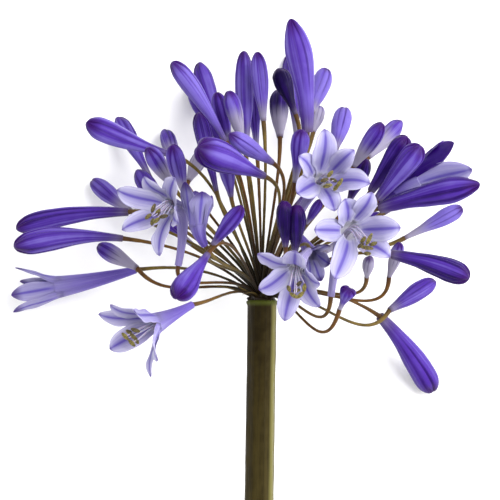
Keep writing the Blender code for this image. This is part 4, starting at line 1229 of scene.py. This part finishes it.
def antherMesh(centre, direction, length, tone, values, points, faces, marks):
    # a pollen sac in two halves with a furrow between them, slightly curved
    side = levelSide(direction)
    other = side.cross(direction)
    rings, sides, start = values["antherRings"], values["antherSides"], len(points)
    for k in range(rings + 1):
        t = k / rings
        radius = values["antherRadius"] * max(math.sin(math.pi * (0.04 + 0.92 * t)), 0.05) ** 0.55
        sideways = values["antherCurve"] * (t - 0.5) ** 2
        middle = centre + direction * ((t - 0.5) * length) - other * sideways
        for j in range(sides):
            a = math.tau * j / sides
            furrow = math.exp(-((math.cos(a) / values["furrowWidth"]) ** 2))
            r = radius * (1 - values["furrowDepth"] * furrow)
            deep = values["antherDepth"] * r
            points.append(middle + side * (r * math.cos(a)) + other * (deep * math.sin(a)))
            note(marks, along=t, across=math.cos(a), crease=furrow, tone=tone, seed=centre.x)
    last = start + rings * sides
    faces += skin(start, rings + 1, sides, flip=True)
    faces += [tuple(range(start, start + sides)), tuple(range(last + sides - 1, last - 1, -1))]


def makeStamens(name, row, places, stalkTree, pollenTree, materials, values):
    base, throat, _, _, _, tips, _ = row
    axis = flowerAxis(base, throat, tips, 0)
    look = facing(throat, tips)
    pistil, steps = values["pistil"], values["pistilSteps"]
    frames = framesAlong([axis(share) for share, _ in pistil], levelSide(axis(0.1) - axis(0)))
    _, side, other, direction = frames[-1]
    low, high = pistil[0][0], pistil[-1][0]
    root = axis(high) - direction
    shares = [low + (high - low) * k / steps for k in range(steps + 1)]
    paths = [([axis(t) for t in shares], [valueAt(pistil, t) for t in shares])]
    points, faces, marks = [], [], {}

    def addFilament(foot, end):
        reach = (end - root).length
        setOff, arrive = direction * (values["setOff"] * reach), look * (values["arrive"] * reach)
        line = (foot, foot + setOff, end - arrive, end)
        ts = [j / values["filamentSteps"] for j in range(values["filamentSteps"] + 1)]
        thinner = values["filamentTip"] - values["filamentBase"]
        paths.append(([bezier(*line, t) for t in ts], [values["filamentBase"] + thinner * t for t in ts]))

    middle = sum((Vector(place[0]) for place in places), Vector()) / len(places)

    def turnAboutMiddle(place):
        out = Vector(place[0]) - middle
        return math.atan2(out.dot(other), out.dot(side)) % math.tau

    for k, (centre, degrees, length, tone) in enumerate(sorted(places, key=turnAboutMiddle)):
        turn = math.tau * (k + 0.5) / len(places)
        foot = root + (side * math.cos(turn) + other * math.sin(turn)) * values["foot"]
        addFilament(foot, Vector(centre))
        angle = math.radians(degrees)
        lie = Vector((math.cos(angle), math.sin(angle), values["antherTilt"])).normalized()
        antherMesh(Vector(centre), lie, length, tone, values, points, faces, marks)
    addFilament(root, middle + look * values["styleReach"])
    number = name.split("_")[1]
    replaced = (f"stamens_{number}",)
    filaments = applyTree(
        f"filaments_{number}", makeCurve(f"filamentPaths_{number}", paths), stalkTree, materials["filament"],
        Sides=values["filamentSides"], Step=values["filamentStep"], Unevenness=values["filamentUnevenness"],
        Seed=values["filamentSeed"])
    finishPiece(filaments, "stamens", replaced)
    sacs = makePiece(
        f"anthers_{number}", points, faces, materials["anther"], marks, "stamens", replaced, sharp=60)
    source = bpy.data.objects.new("pollenSource", sacs.data.copy())
    scene.collection.objects.link(source)
    perSquareMetre = values["pollenPerSquareMm"] / mm**2
    pollen = applyTree(f"pollen_{number}", source, pollenTree, materials["pollen"], Density=perSquareMetre,
                       Grain_Size=values["pollenSize"] * mm, Seed=int(number))
    finishPiece(pollen, "stamens", ())


# Floor and light
stageValues = {
    "floorSize": 12.0,
    "floorLevel": -0.0002,
    "floor": (0.96, 0.96, 0.96, 1.0),
    "world": (1.0, 1.0, 1.0, 1.0),
    "worldStrength": 1.04,
    "keyPower": 112.0,
    "keySize": 1.5,
    "keyPlace": (1.2, 1.0, 3.0),
    "fillPower": 80.0,
    "fillSize": 1.6,
    "fillPlace": (2.8, 0.5, 1.3),
}


def makeLight(name, power, size, place):
    light = bpy.data.lights.new(name, "AREA")
    light.energy, light.size = power, size
    holder = bpy.data.objects.new(name, light)
    holder.location = hub + Vector(place)
    holder.rotation_euler = (-Vector(place)).to_track_quat("-Z", "Y").to_euler()
    scene.collection.objects.link(holder)


def makeStage(values):
    half, level = values["floorSize"] / 2, values["floorLevel"]
    corners = [(x * half, y * half, level) for x, y in ((-1, -1), (1, -1), (1, 1), (-1, 1))]
    mesh = bpy.data.meshes.new("floor")
    mesh.from_pydata(corners, [], [(0, 1, 2, 3)])
    mesh.materials.append(newMaterial("paleFloor", 0.9, Base_Color=values["floor"])[0])
    floor = bpy.data.objects.new("floor", mesh)
    scene.collection.objects.link(floor)
    world = bpy.data.worlds.new("studio")
    world.use_nodes = True
    background = world.node_tree.nodes["Background"]
    background.inputs["Color"].default_value = values["world"]
    background.inputs["Strength"].default_value = values["worldStrength"]
    scene.world = world
    makeLight("key", values["keyPower"], values["keySize"], values["keyPlace"])
    makeLight("fill", values["fillPower"], values["fillSize"], values["fillPlace"])
    scene.view_settings.view_transform = "Standard"


makeCamera(cameraValues)
makeStage(stageValues)
print("camera and stage ready")

veinGroup = makeVeinGroup()
budMaterial = makeBudMaterial(veinGroup, budColours)
bloomMaterial = makeBloomMaterial(veinGroup, bloomColours)
stalkMaterial = makeStalkMaterial(veinGroup, stalkColours)
scapeMaterial = makeScapeMaterial(veinGroup, scapeColours)
stamenMaterials = {
    "filament": makeGrainyMaterial(
        "paleFilaments", 0.4, 900.0, 0.4, 0.7, stamenColours["filament"], stamenColours["filamentShade"],
        Subsurface_Weight=0.2, Subsurface_Scale=0.002),
    "anther": makeAntherMaterial(veinGroup, stamenColours),
    "pollen": makeGrainyMaterial(
        "yellowPollen", 0.75, 1500.0, 0.35, 0.65, stamenColours["pollen"], stamenColours["pollenShade"]),
}
stalkTree = makeStalkTree()
pollenTree = makePollenTree()
print("materials and trees ready")

makeScape(scapeMaterial, scapeValues)
makePedicels(stalkTree, stalkMaterial, pedicelValues)
makeReceptacle(stalkMaterial, receptacleValues)
makeBracteoles(stalkMaterial, bracteoleValues)
print("stem and stalks ready")

budRows = {name: [(number, row)] for number, (name, row) in enumerate(buds.items())}
budRows |= {name: list(enumerate(pair)) for name, pair in twinBuds.items()}
for name, rows in budRows.items():
    points, faces, marks = budMesh(rows, budValues)
    makePiece(f"petals_of_{name}", points, faces, budMaterial, marks, "bud", (name,))
for number, (name, (kind, base, tip, width, tone, pale)) in enumerate(youngBuds.items()):
    points, faces, marks = budMesh([(number, (kind, base, tip, width, 0, tone, pale))], budValues)
    makePiece(f"bud_{name}", points, faces, budMaterial, marks, "pedicels", ("pedicels",))
print("buds ready")

for number, (name, row) in enumerate(flowers.items()):
    paler, narrower = paleTepals.get(name, {}), narrowTepals.get(name, {})
    points, faces, marks = flowerMesh(row, number, paler, narrower, flowerValues)
    marks["seed"] = [number * 5.1] * len(points)
    slot = name.split("_")[0]
    makePiece(f"tepals_of_{name}", points, faces, bloomMaterial, marks, slot, (name,), sharp=70)
    if name in anthers:
        makeStamens(name, row, anthers[name], stalkTree, pollenTree, stamenMaterials, stamenValues)
print("flowers ready")
